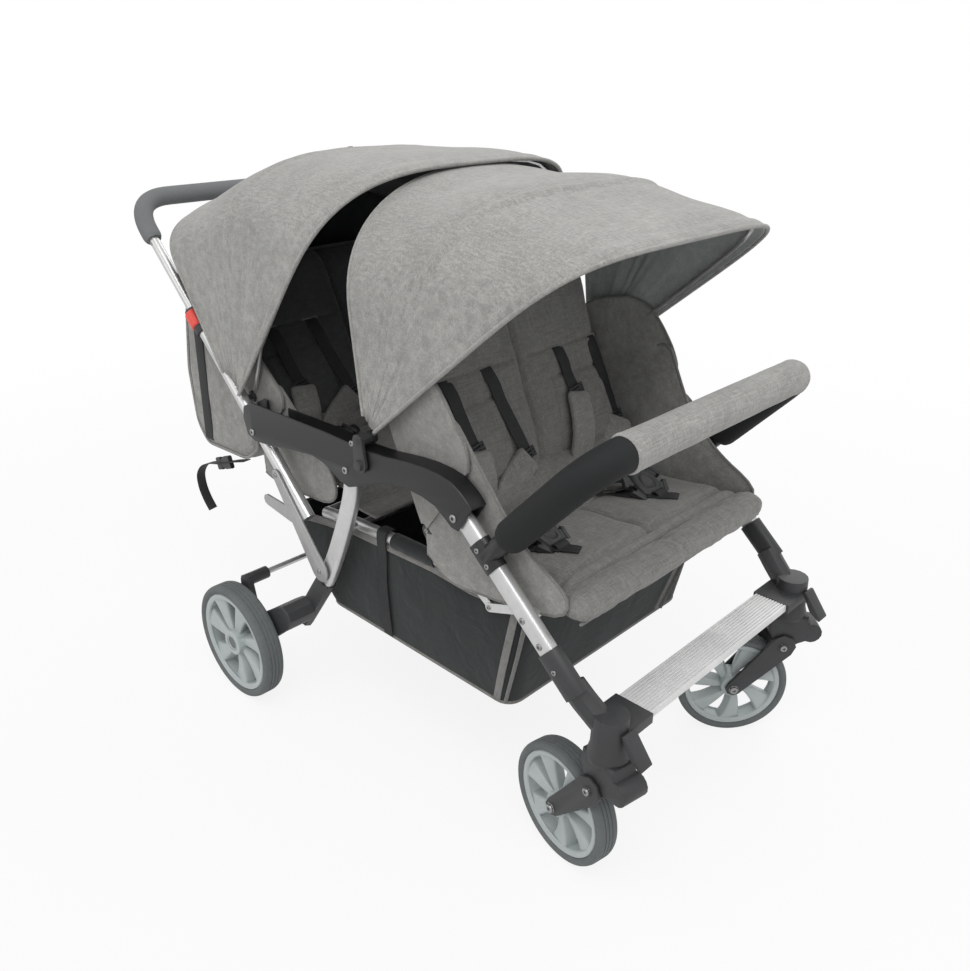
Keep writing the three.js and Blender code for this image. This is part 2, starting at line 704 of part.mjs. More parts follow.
function rearBracket() {
  const footPlaces = rearLegPlaces.slice(-4);
  const lastPlace = footPlaces[footPlaces.length - 1];
  const beyond = along(footPlaces[2], lastPlace, sideDistance(footPlaces[2], lastPlace) + sleeveWall);
  const sleeveSection = ovalSection(legWidth + 2 * sleeveWall, rearLegDepth + 2 * sleeveWall);
  const sleeve = sweep(sleeveSection, inPlane(sideX, [...footPlaces.slice(0, 3), beyond]), 2);
  const legSection = ovalSection(legWidth + 2 * gap, rearLegDepth + 2 * gap);
  const before = along(footPlaces[0], footPlaces[1], -overrun);
  const holeEnd = along(lastPlace, beyond, gap);
  const hole = sweep(legSection, inPlane(sideX, [before, ...footPlaces.slice(0, 3), holeEnd]), 3);
  const middle = footPlaces[2];
  const plateFrom = plateOuterX - bracketPlateThick;
  const face = sideX + legWidth / 2;
  const inner = plateOuterX - bracketBevel;
  const plateShape = belt([[...rearAxle, axleRound], [...middle, legRound]], 8);
  const plate = sidePlate(plateShape, plateFrom, plateOuterX, bracketBevel);
  const clipShape = belt([[...rearAxle, clipAxleRound], [...brakeBarAt, clipRound]], 8);
  const clipArm = sidePlate(clipShape, plateFrom, inner);
  const webShape = belt([[...middle, legRound], [...along(middle, rearAxle, webReach), clipAxleRound]], 8);
  const web = sidePlate(webShape, face, inner);
  const barrel = rodAlongX(barBarrel, face + sleeveWall, inner - gap, brakeBarAt, 10);
  const hubFace = rodAlongX(collarRound, inner, rearWheelX - rearWheelHalf - gap, rearAxle, 12);
  const stub = rodAlongX(stubRadius, inner, rearWheelX + rearWheelHalf - hubCapThick - gap, rearAxle, 10);
  const barHoleTo = plateOuterX - hubCapThick;
  const barHole = rodAlongX(brakeBarRadius + boreGap, sideX - overrun, barHoleTo, brakeBarAt, 10);
  return cut(join(sleeve, plate, clipArm, web, barrel, hubFace, stub), hole, barHole);
}

addPair('rear_bracket', rearBracket(), blackPlastic);

// Rear wheels

const rearHub = 26;

for (const [side, sign] of [['left', 1], ['right', -1]]) {
  const half = rearWheelHalf;
  const bore = stubRadius + boreGap;
  const rim = wheelRim(rearWheelRadius, half, half, rearHub, bore, -overrun, half - hubCapThick);
  const rimMesh = new THREE.Mesh(sign > 0 ? geometryOf(rim) : mirrored(geometryOf(rim)), rimPlastic);
  rimMesh.name = `rear_rim_${side}`;
  rimMesh.position.set(sign * rearWheelX, ...rearAxle);
  stroller.add(rimMesh);
  const tyreMesh = addPiece(`rear_tyre_${side}`, wheelTyre(rearWheelRadius, half), tyreRubber);
  tyreMesh.position.set(sign * rearWheelX, ...rearAxle);
}

// Brake bar: a rod across the back that turns in both rear brackets, with a foot pedal in the middle

const pedalHalf = 45;
const pedalReach = 62;
const pedalThick = 8;
const pedalWall = 3; // round the bar
const pedalBevel = 1.5;

function brakeBar() {
  const end = plateOuterX - hubCapThick - gap;
  const rod = rodAlongX(brakeBarRadius, -end, end, brakeBarAt, 10);
  const tip = [brakeBarAt[0] + pedalReach, brakeBarAt[1] + pedalThick];
  const pedalShape = belt([[...brakeBarAt, brakeBarRadius + pedalWall], [...tip, pedalThick / 2]]);
  const pedal = sidePlate(pedalShape, -pedalHalf, pedalHalf, pedalBevel);
  return join(rod, pedal);
}

addPiece('brake_bar', brakeBar(), steel);

// Handle: lower tubes that turn in the casings, collars with release buttons, and a telescoping upper bar

const boreSpare = 5; // bore left below the upper tube when the handle is in

function handleTube() {
  const boreDepth = handleInserted + handleTravel + boreSpare;
  const boreFrom = along(handleTop, handleLow, boreDepth);
  const tube = sweep(roundSection(handleTubeRadius), inPlane(sideX, [handleLow, handleTop]));
  const boreTo = along(handleTop, handleLow, -overrun);
  const bore = sweep(roundSection(handleUpperRadius + boreGap), inPlane(sideX, [boreFrom, boreTo]));
  const boss = rodAlongX(pivotBoss, sideX - channelHalf + gap, sideX + channelHalf - gap, handlePin);
  return cut(join(tube, boss), bore);
}

addPair('handle_tube', handleTube(), aluminium);

const collarRadius = 17;
const collarLength = 52;
const collarOver = 26; // how far the collar comes down over the lower tube
const buttonHalf = [5, 9]; // half width and half length of a release button
const buttonProud = 4.5;
const buttonSunk = 1.2;
const buttonTravel = 2.5;
const collarLow = along(handleTop, handleLow, collarOver);
const collarHigh = along(handleTop, handleCorner, collarLength - collarOver);
const collarMiddle = along(collarLow, collarHigh, collarLength * 0.62);

function buttonBlock(half, xFrom, xTo) {
  const length = sideDistance(collarLow, collarHigh);
  const way = [(collarHigh[0] - collarLow[0]) / length, (collarHigh[1] - collarLow[1]) / length];
  const corner = (a, b) => [
    collarMiddle[0] + way[0] * a - way[1] * b,
    collarMiddle[1] + way[1] * a + way[0] * b,
  ];
  const [across, run] = half;
  const corners = [corner(-run, -across), corner(run, -across), corner(run, across), corner(-run, across)];
  return sidePlate(outline(corners), xFrom, xTo);
}

function handleCollar() {
  const body = sweep(roundSection(collarRadius), inPlane(sideX, [collarLow, collarHigh]), 8);
  const lowFrom = along(collarLow, collarHigh, -overrun);
  const lowTo = along(handleTop, collarHigh, gap);
  const lowBore = sweep(roundSection(handleTubeRadius + gap), inPlane(sideX, [lowFrom, lowTo]));
  const highTo = along(handleTop, handleCorner, overrun);
  const highBore = sweep(roundSection(handleUpperRadius + boreGap), inPlane(sideX, [handleLow, highTo]));
  const face = sideX + collarRadius;
  const pocketHalf = buttonHalf.map((size) => size + gap);
  const pocket = buttonBlock(pocketHalf, face - buttonSunk - buttonTravel - gap, face + overrun);
  return cut(body, lowBore, highBore, pocket);
}

addPair('handle_collar', handleCollar(), blackPlastic);
const buttonFace = sideX + collarRadius;
const handleButton = buttonBlock(buttonHalf, buttonFace - buttonSunk, buttonFace + buttonProud);
addPair('handle_button', handleButton, redPlastic);

const handleBend = 78;
const handleUpperFrom = along(handleTop, handleLow, handleInserted);
const handleStations = acrossStations(handleUpperFrom, handleCorner, sideX, handleBend);
const gripFrom = along(handleTop, handleCorner, sideDistance(handleTop, gripStart));
const gripStations = acrossStations(gripFrom, handleCorner, sideX, handleBend);
addPiece('handle_upper', sweep(roundSection(handleUpperRadius), handleStations, 5), aluminium);
const gripSection = roundSection(gripRadius, handleUpperRadius + gap);
addPiece('handle_grip', sweep(gripSection, gripStations, 5), foam);

// Fold links: a flat plate outside each handle tube, pinned to the tube and to the rear leg, with a lever arm

const linkPin = [764, 474];
const linkFoot = [647, 316];
const linkLever = [801, 411];
const linkThick = 5;
const linkBevel = 1;
const linkPinRound = 11;
const linkFootRound = 23;
const leverRoot = 15;
const leverThinner = 0.4; // on each face
const linkInner = sideX + handleTubeRadius + gap;

function linkPlate() {
  const middle = along(linkFoot, linkPin, sideDistance(linkFoot, linkPin) * 0.55);
  const outer = linkInner + linkThick;
  const armShape = belt([[...linkPin, linkPinRound], [...linkFoot, linkFootRound]]);
  const arm = sidePlate(armShape, linkInner, outer, linkBevel);
  const leverShape = belt([[...linkLever, linkPinRound], [...middle, leverRoot]], 8);
  const lever = sidePlate(leverShape, linkInner + leverThinner, outer - leverThinner);
  const spacer = rodAlongX(pivotBoss, sideX + legWidth / 2 + gap, linkInner + linkBevel, linkFoot);
  const heads = [linkPin, linkFoot].map((pin) =>
    rodAlongX(rivetRadius, outer - screwProud, outer + screwProud, pin, pinSides));
  return join(arm, lever, spacer, ...heads);
}

addPair('link_plate', linkPlate(), greyPlate);

// Seat frame: two side rails and three cross tubes welded into one frame, pinned to the rear legs

const railRear = [692, 402];
const railFront = [122, 445];
const railShares = [
  [0, 0], [0.161, 0.233], [0.53, 0.419], [0.688, 0.302], [0.837, 0.465], [0.933, 0.744], [1, 1],
];
const seatPin = [590, 412.6];
const seatPinRadius = 7;
const midTubeAt = [330, 423.3];
const reclineTubeAt = [368, 421];
const reclinePin = [368, 446];
const reclineRadius = 8;
const lugIn = 30; // rail to the inner face of each lug
const lugThick = 11;
const lugInner = railX - lugIn;
const lugOuter = lugInner + lugThick;
const lugRound = 13;
const bearerIn = 44;
const bearerX = railX - bearerIn;
const bearerRadius = 8;
const bearerEndAt = [852, 447];
const bearerShares = [[0, 0], [0.061, 0.215], [0.16, 0.913], [1, 1]];

// Places at shares of the way from one place to another, along and up
function placesBetween(from, to, shares) {
  return shares.map(([alongShare, upShare]) => [
    from[0] + (to[0] - from[0]) * alongShare,
    from[1] + (to[1] - from[1]) * upShare,
  ]);
}

const railPlaces = placesBetween(railRear, railFront, railShares);
const bearerPlaces = placesBetween(seatPin, bearerEndAt, bearerShares);

function seatFrame() {
  const rails = [1, -1].map((sign) => sweep(roundSection(railRadius), inPlane(sign * railX, railPlaces), 4));
  const places = [railFront, midTubeAt, reclineTubeAt, railRear];
  const tubes = places.map((place) => rodAlongX(crossRadius, -railX, railX, place, 10));
  const bearers = [1, -1].map((sign) => {
    return sweep(roundSection(bearerRadius), inPlane(sign * bearerX, bearerPlaces), 3);
  });
  const bearerEnd = rodAlongX(bearerRadius, -bearerX, bearerX, bearerPlaces[bearerPlaces.length - 1], 8);
  const reach = sideX - legWidth / 2 - gap;
  const pins = rodAlongX(seatPinRadius, -reach, reach, seatPin, 8);
  const lugs = [1, -1].map((sign) => {
    const [from, to] = sign > 0 ? [lugInner, lugOuter] : [-lugOuter, -lugInner];
    const high = reclinePin[1] + lugRound;
    return box([from, to], [reclinePin[0] - lugRound, reclinePin[0] + lugRound], [reclineTubeAt[1], high]);
  });
  const whole = join(rails[0], rails[1], ...tubes, pins, ...lugs, ...bearers, bearerEnd);
  const boreTo = lugOuter + overrun / 4;
  return cut(whole, rodAlongX(reclineRadius + 2 * gap, -boreTo, boreTo, reclinePin, 10));
}

addPiece('seat_frame', seatFrame(), aluminium);

// Folding braces: a long bar riveted to each front leg and a short one riveted to each rail

const braceOnRail = [283, 416];
const braceElbow = [250, 394];
const braceThick = 3;
const braceRound = 7.5;
const braceLinkInner = railX + railRadius + gap;
const braceBarInner = braceLinkInner + braceThick + gap;

function braceBar() {
  const shape = belt([[...braceOnLeg, braceRound], [...braceElbow, braceRound]]);
  const bar = sidePlate(shape, braceBarInner, braceBarInner + braceThick);
  const spacer = rodAlongX(braceRound, braceBarInner, sideX - legWidth / 2 - gap, braceOnLeg, 12);
  return join(bar, spacer);
}

addPair('brace_bar', braceBar(), aluminium);
const braceLinkShape = belt([[...braceElbow, braceRound], [...braceOnRail, braceRound]]);
const braceLink = sidePlate(braceLinkShape, braceLinkInner, braceLinkInner + braceThick);
addPair('brace_link', braceLink, aluminium);

// Recline hinge: a cross shaft in the seat frame's lugs with a black knuckle at each end

const knuckleEye = [392, 478];
const eyeRadius = 11;
const eyeHalf = 6;
const hoopOut = 1;
const hoopX = railX + hoopOut;
const cheek = 10;
const eyePinRadius = 4;
const hingeRound = 14; // the knuckle round the shaft, and round the eye
const hingeEyeRound = 12;
const hingeBevel = 1.5;
const hingeSeat = 1; // how far the shaft stops short of the knuckle's face
const pinSeat = 2;

function reclineHinge() {
  const outer = hoopX + eyeHalf + cheek;
  const shaft = rodAlongX(reclineRadius, -outer + hingeSeat, outer - hingeSeat, reclinePin, 10);
  const sides = [hoopX, -hoopX].map((x) => {
    const shape = belt([[...reclinePin, hingeRound], [...knuckleEye, hingeEyeRound]], 10);
    const block = sidePlate(shape, x - eyeHalf - cheek, x + eyeHalf + cheek, hingeBevel);
    const slotFrom = x - eyeHalf - gap;
    const room = eyeRadius + 2 * gap;
    const slotShape = belt([[...knuckleEye, room], [...along(reclinePin, knuckleEye, 3 * overrun), room]]);
    const slot = sidePlate(slotShape, slotFrom, slotFrom + 2 * (eyeHalf + gap));
    const pinReach = eyeHalf + pinSeat;
    const pin = rodAlongX(eyePinRadius, x - pinReach, x + pinReach, knuckleEye, pinSides);
    return join(cut(block, slot), pin);
  });
  return join(shaft, sides[0], sides[1]);
}

addPiece('recline_hinge', reclineHinge(), blackPlastic);

// Front backrest frame: a hoop that tilts in the two knuckles

const hoopLength = 372;
const hoopRadius = 8;
const hoopBend = 75;
const cheekRoom = 1; // round the knuckle, where the hoop is cut to turn
const backWay = [Math.cos(backAngle * degree), Math.sin(backAngle * degree)];
const hoopTop = [knuckleEye[0] + hoopLength * backWay[0], knuckleEye[1] + hoopLength * backWay[1]];

function backHoop() {
  const start = along(knuckleEye, hoopTop, eyeRadius * 0.6);
  const points = [[hoopX, ...start], [hoopX, ...hoopTop], [-hoopX, ...hoopTop], [-hoopX, ...start]];
  const hoop = sweep(roundSection(hoopRadius), roundedStations(points, hoopBend, 5), 4);
  const ends = [hoopX, -hoopX];
  const eyes = ends.map((x) => rodAlongX(eyeRadius, x - eyeHalf, x + eyeHalf, knuckleEye));
  const rounds = [hingeEyeRound, hingeRound].map((radius) => radius + cheekRoom);
  const around = belt([[...knuckleEye, rounds[0]], [...reclinePin, rounds[1]]]);
  const slots = ends.flatMap((x) => [
    sidePlate(around, x + eyeHalf - gap / 2, x + eyeHalf + cheek),
    sidePlate(around, x - eyeHalf - cheek, x - eyeHalf + gap / 2),
  ]);
  const holes = ends.map((x) =>
    rodAlongX(eyePinRadius + 2 * gap, x - overrun / 2, x + overrun / 2, knuckleEye, pinSides));
  return cut(join(hoop, ...eyes), ...slots, ...holes);
}

addPiece('front_back_frame', backHoop(), aluminium);

// Cushions: a crowned pad over a flat underside, with drawn-in sides and sewn channels

function cushion({ halfWidth, halfLength, thick, rim, pull, channels, ribs, columns, rows }) {
  const spots = [];
  const place = (column, row, top) => {
    const across = (2 * column) / columns - 1;
    const upwards = (2 * row) / rows - 1;
    const edgeX = 1 - Math.abs(across) ** 6;
    const edgeY = 1 - Math.abs(upwards) ** 6;
    const round = (edgeX * edgeY) ** 0.35;
    const x = halfWidth * across * (1 - pull * (1 - upwards * upwards));
    const y = halfLength * upwards * (1 - pull * (1 - across * across));
    if (!top) {
      return [x, y, rim * (1 - round) ** 4];
    }
    let height = rim + (thick - rim) * round;
    for (const [share, width, depth] of channels) {
      height -= depth * round * Math.exp(-(((across - share) / width) ** 2));
    }
    for (const [share, width, depth] of ribs) {
      height -= depth * round * Math.exp(-(((upwards - share) / width) ** 2));
    }
    return [x, y, height];
  };
  const stride = columns + 1;
  const count = stride * (rows + 1);
  for (const top of [true, false]) {
    for (let row = 0; row <= rows; row += 1) {
      for (let column = 0; column <= columns; column += 1) {
        spots.push(...place(column, row, top));
      }
    }
  }
  const faces = [];
  const quad = (a, b, c, d) => faces.push(a, b, c, a, c, d);
  for (let row = 0; row < rows; row += 1) {
    for (let column = 0; column < columns; column += 1) {
      const a = row * stride + column;
      quad(a, a + 1, a + 1 + stride, a + stride);
      quad(count + a, count + a + stride, count + a + 1 + stride, count + a + 1);
    }
  }
  const geometry = new THREE.BufferGeometry();
  geometry.setAttribute('position', new THREE.Float32BufferAttribute(spots, 3));
  geometry.setIndex(faces);
  return mergeVertices(geometry, weldDistance);
}

// A cushion laid with its length along a line in the side plane, its underside on that line
function laidCushion(sizes, middle, angle) {
  const geometry = cushion(sizes);
  geometry.rotateX(angle * degree);
  geometry.translate(0, ...middle);
  return solidOf(geometry);
}

const padThick = 34;
const backThick = 42;
const backPadOver = 10; // pads past the half width of the backs
const rearPadOver = 8;
const panSlope = 6;
const panRest = 432.3; // underside of the seat pan over the middle of the cross tubes
const panMiddle = [221, panRest + crossRadius];
const panHalfLength = 123;
const seatChannels = [[0, 0.03, 12], [-0.86, 0.05, 4], [0.86, 0.05, 4]];
const frontPan = {
  halfWidth: seatHalfWidth, halfLength: panHalfLength, thick: padThick, rim: 9, pull: 0.02,
  channels: seatChannels, ribs: [[-0.72, 0.07, 5]], columns: 18, rows: 7,
};
addPiece('front_seat', laidCushion(frontPan, panMiddle, -panSlope), greyCloth);

const backChannels = [[0, 0.03, 14], [-0.5, 0.3, 3], [0.5, 0.3, 3], [-0.8, 0.04, 5], [0.8, 0.04, 5]];
const frontBackPad = {
  halfWidth: backHalfWidth + backPadOver, halfLength: 178, thick: backThick, rim: 12, pull: 0.015,
  channels: backChannels, ribs: [[0.42, 0.05, 5]], columns: 20, rows: 8,
};
const backPadAlong = 207;
const backPadLow = 6 * gap; // how far the pad is pressed over the hoop

function facingBack(sizes, angle, middle) {
  const geometry = cushion(sizes);
  geometry.rotateX(angle * degree);
  geometry.translate(0, middle[0], middle[1]);
  return solidOf(geometry);
}

const frontBackPlace = [
  knuckleEye[0] + backWay[0] * backPadAlong - backWay[1] * (hoopRadius - backPadLow),
  knuckleEye[1] + backWay[1] * backPadAlong + backWay[0] * (hoopRadius - backPadLow),
];
addPiece('front_back', facingBack(frontBackPad, backAngle, frontBackPlace), greyCloth);

// Rear seat: a pan on the bearers, and a back with its rear cover held between the handle tubes

const rearPan = { ...frontPan, halfLength: 117, halfWidth: backHalfWidth + rearPadOver };
const rearPanRest = 445.1;
const rearPanMiddle = [745, rearPanRest + bearerRadius];
const rearPanSlope = 0.8;
const lipThick = 10;
const lipSpan = 94; // how far the rear seat's cloth runs on over the pin tube
const lipDrop = 34;
const lipShares = [[-1, -1], [-0.53, -1], [-0.42, -0.66], [0, 0]];

// The cloth that runs down in front of the rear seat, as a lip from the pan over the tubes
function rearSeatLip() {
  const rootY = rearPanMiddle[0] - rearPan.halfLength + 1.5 * lipThick;
  const rootZ = rearPanMiddle[1] + 0.8 * lipThick;
  const under = lipShares.map(([back, up]) => [rootY + back * lipSpan, rootZ + up * lipDrop]);
  const over = [...under].reverse().map(([y, z]) => [y, z + lipThick]);
  const half = rearPan.halfWidth - lipThick;
  return sidePlate(outline([...under, ...over]), -half, half);
}

const rearPad = laidCushion(rearPan, rearPanMiddle, rearPanSlope);
addPiece('rear_seat', join(rearPad, rearSeatLip()), greyCloth);

const rearBackHinge = [872, 482];
const rearBackTop = [1036, 826];
const rearBackPad = { ...frontBackPad, halfWidth: backHalfWidth + rearPadOver, halfLength: 186 };
const coverIn = 17; // side frame to the side faces of the rear cover
const coverHalf = sideX - coverIn;
const coverBevel = 12;
const coverShares = [
  [-0.03, 0], [0.3, -0.12], [1.25, -0.14], [1.46, -0.02], [1.52, 0.33], [1.36, 0.72], [0.97, 1],
];

function rearBack() {
  const run = rearBackTop[0] - rearBackHinge[0];
  const rise = rearBackTop[1] - rearBackHinge[1];
  const angle = Math.atan2(rise, run);
  const padMiddle = along(rearBackHinge, rearBackTop, rearBackPad.halfLength + gap);
  const pad = facingBack(rearBackPad, angle / degree, padMiddle);
  const places = coverShares.map(([back, up]) => [
    rearBackHinge[0] + back * run,
    rearBackHinge[1] + up * rise,
  ]);
  return join(pad, sidePlate(outline(places), -coverHalf, coverHalf, coverBevel));
}

addPiece('rear_back', rearBack(), greyCloth);

// Basket: a deep cloth tray under the seat frame, with a thick bound rim

const basketHalf = railX + seatOver;
const basketCloth = 3;
const basketRim = 16;
const basketRimDepth = 6;
const basketBevel = 1.5;
const basketFloor = [183, 204]; // foot of the upright through the front of the rim
const basketLength = 648;
const basketDepth = 209;
const basketTopShares = [
  [0, 1], [0.049, 0.986], [0.181, 0.954], [0.319, 0.976], [0.643, 0.939], [0.785, 0.88], [1, 0.77],
];
const basketLowShares = [[0.799, 0.038], [0.782, 0], [0.068, 0], [0.042, 0.038]];
const inBasket = ([alongShare, upShare]) => [
  basketFloor[0] + alongShare * basketLength,
  basketFloor[1] + upShare * basketDepth,
];
const basketTop = basketTopShares.map(inBasket);
const basketLow = basketLowShares.map(inBasket);

function basket() {
  const shape = outline([...basketLow, ...basketTop].reverse());
  const outer = sidePlate(shape, -basketHalf, basketHalf, basketBevel);
  const topInset = basketTop.map(([y, z], at) => {
    const inward = at === 0 ? basketCloth : at === basketTop.length - 1 ? -basketCloth : 0;
    return [y + inward, z - basketRimDepth];
  });
  const lowInset = [
    [basketLow[0][0] - basketCloth, basketLow[0][1] + basketCloth],
    [basketLow[1][0] - basketCloth, basketLow[1][1] + basketCloth],
    [basketLow[2][0] + basketCloth, basketLow[2][1] + basketCloth],
    [basketLow[3][0] + basketCloth, basketLow[3][1] + basketCloth],
  ];
  const insideHalf = basketHalf - basketCloth;
  const inside = sidePlate(outline([...lowInset, ...topInset].reverse()), -insideHalf, insideHalf);
  const first = basketTop[0];
  const last = basketTop[basketTop.length - 1];
  const mouthPlaces = [
    [first[0] + basketRim, first[1] - 2 * basketRim],
    [first[0] + basketRim, first[1] + overrun],
    [last[0] - basketRim, last[1] + 2 * overrun],
    [last[0] - basketRim, last[1] - 2 * basketRim],
  ];
  const mouth = sidePlate(outline(mouthPlaces.reverse()), -basketHalf + basketRim, basketHalf - basketRim);
  return cut(outer, inside, mouth);
}

addPiece('basket', basket(), blackCloth);

// Canopies: a lined cloth hood that fans out from a pivot on each side, over a springy bow in its front hem

const canopyRows = 7;
const archColumns = 18;
const legColumns = 2;
const bowRadius = 4;
const canopyPivot = [500, 618];
const rearCanopyPivot = [877, 591];
const rearHoodWider = 11;
const clampClearance = 0.4;
const frontHood = {
  pivot: canopyPivot, angles: [39.5, 96], half: canopyHalfWidth,
  low: [30, 26, 40], straight: [250, 215, 200], crown: [523, 424, 400], square: [4.6, 3.2, 2.4],
  bowSlope: 1.5, // the hood slopes over its bow, so the bow hangs lower by this ratio
};
const rearHood = {
  pivot: rearCanopyPivot, angles: [51, 124], half: canopyHalfWidth + rearHoodWider,
  low: [22, 34, 60], straight: [280, 262, 270], crown: [555, 430, 400], square: [3.6, 3, 3], bowSlope: 1.64,
};
const hoodSag = 0.022;

// The value at a share from 0 to 1 of a curve through three values
function through([first, middle, last], share) {
  const start = (1 - share) * (1 - 2 * share);
  const centre = 4 * share * (1 - share);
  const end = share * (2 * share - 1);
  return first * start + middle * centre + last * end;
}

// One cross section of a hood, as points [x, reach from the pivot axis]
function hoodSection(hood, share, inset) {
  const sag = 1 - hoodSag * Math.sin(2 * Math.PI * share) ** 2;
  const low = through(hood.low, share);
  const straight = through(hood.straight, share);
  const crown = through(hood.crown, share) * sag - inset;
  const power = 2 / through(hood.square, share);
  const half = hood.half - inset;
  const points = [];
  for (let step = 0; step < legColumns; step += 1) {
    points.push([half, low + ((straight - low) * step) / legColumns]);
  }
  for (let step = 0; step <= archColumns; step += 1) {
    const turn = (Math.PI * step) / archColumns;
    const across = Math.abs(Math.cos(turn)) ** power * Math.sign(Math.cos(turn));
    const upwards = Math.abs(Math.sin(turn)) ** power;
    points.push([half * across, straight + (crown - straight) * upwards]);
  }
  for (let step = legColumns - 1; step >= 0; step -= 1) {
    points.push([-half, low + ((straight - low) * step) / legColumns]);
  }
  return points;
}

function hoodPlace(hood, [x, reach], share) {
  const angle = (hood.angles[0] + (hood.angles[1] - hood.angles[0]) * share) * degree;
  return [x, hood.pivot[0] - reach * Math.cos(angle), hood.pivot[1] + reach * Math.sin(angle)];
}

function hoodShell(hood) {
  const spots = [];
  const columns = archColumns + 2 * legColumns;
  const stride = columns + 1;
  const layer = stride * (canopyRows + 1);
  for (const inset of [0, 2 * canopyRest]) {
    for (let row = 0; row <= canopyRows; row += 1) {
      const share = row / canopyRows;
      for (const point of hoodSection(hood, share, inset)) {
        spots.push(...hoodPlace(hood, point, share));
      }
    }
  }
  const faces = [];
  const quad = (a, b, c, d) => faces.push(a, b, c, a, c, d);
  for (let row = 0; row < canopyRows; row += 1) {
    for (let column = 0; column < columns; column += 1) {
      const a = row * stride + column;
      quad(a, a + stride, a + stride + 1, a + 1);
      quad(layer + a, layer + a + 1, layer + a + stride + 1, layer + a + stride);
    }
    const left = row * stride;
    const right = left + columns;
    quad(left, layer + left, layer + left + stride, left + stride);
    quad(right, right + stride, layer + right + stride, layer + right);
  }
  const back = canopyRows * stride;
  for (let column = 0; column < columns; column += 1) {
    quad(column, column + 1, layer + column + 1, layer + column);
    quad(back + column, layer + back + column, layer + back + column + 1, back + column + 1);
  }
  const geometry = new THREE.BufferGeometry();
  geometry.setAttribute('position', new THREE.Float32BufferAttribute(spots, 3));
  geometry.setIndex(faces);
  return solidOf(geometry);
}

const bowShare = 0.03;

function hoodBow(hood, rootX, rootReach) {
  const inset = 2 * canopyRest + (bowRadius + boreGap) * hood.bowSlope;
  const section = hoodSection(hood, bowShare, inset).slice(1, -1);
  const points = [[rootX, rootReach], ...section, [-rootX, rootReach]];
  const stations = points.map((point) => new THREE.Vector3(...hoodPlace(hood, point, bowShare)));
  return sweep(roundSection(bowRadius), stations, 3);
}

addPiece('front_canopy', hoodShell(frontHood), greyCloth);
addPiece('rear_canopy', hoodShell(rearHood), greyCloth);
const clampHub = 11;
const frontBowIn = 5; // side frame to the root of the front bow
const rearBowIn = 6; // face of the rear clamp to the root of the rear bow
const rearBowRoom = 1.2;
const innerClampX = sideX - casingHalf - clampClearance;
addPiece('front_canopy_bow', hoodBow(frontHood, sideX - frontBowIn, clampHub + boreGap), steel);
addPiece('rear_canopy_bow', hoodBow(rearHood, innerClampX - rearBowIn, clampHub + rearBowRoom), steel);

// Canopy clamps: one on the outer face of each casing, one on the inner side of each handle tube

const clampFoot = [496, 578];
const clampThick = 8;
const clampBevel = 1.5;
const clampFootRound = 15;
const clampPivotRound = 12;
const clampKnob = 9;
const knobProud = 5;
const clampSink = 2; // how far joined parts of a clamp run into each other
const hubReach = 12; // how far the hub runs in past the side frame's middle
const rearHubLength = 12;
const rearStud = 5;
const studGap = 0.15;

function frontClamp() {
  const face = sideX + casingHalf + gap;
  const shape = belt([[...clampFoot, clampFootRound], [...canopyPivot, clampPivotRound]], 8);
  const plate = sidePlate(shape, face, face + clampThick, clampBevel);
  const hub = rodAlongX(clampHub, sideX - hubReach, face + clampSink, canopyPivot, 10);
  const knobFrom = face + clampThick - clampSink / 2;
  const knob = rodAlongX(clampKnob, knobFrom, face + clampThick + knobProud, clampFoot, 10);
  return join(plate, hub, knob);
}

function rearClamp() {
  const block = rodAlongX(clampHub, innerClampX - rearHubLength, innerClampX, rearCanopyPivot, 14);
  const studTo = sideX - handleTubeRadius - studGap;
  const stud = rodAlongX(rearStud, innerClampX - clampSink, studTo, rearCanopyPivot, 12);
  return join(block, stud);
}

addPair('front_canopy_clamp', frontClamp(), blackPlastic);
addPair('rear_canopy_clamp', rearClamp(), blackPlastic);

// The part stands on the floor with its middle over the origin
stroller.updateMatrixWorld(true);
const bounds = new THREE.Box3().setFromObject(stroller, true);
stroller.position.set(0, -(bounds.min.y + bounds.max.y) / 2, -bounds.min.z);

export default stroller;
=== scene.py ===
import json
from math import atan2, copysign, cos, degrees, dist, exp, hypot, pi, radians, sin

import bmesh
import bpy
import numpy as np
from mathutils import Matrix, Vector, noise
from mathutils.bvhtree import BVHTree

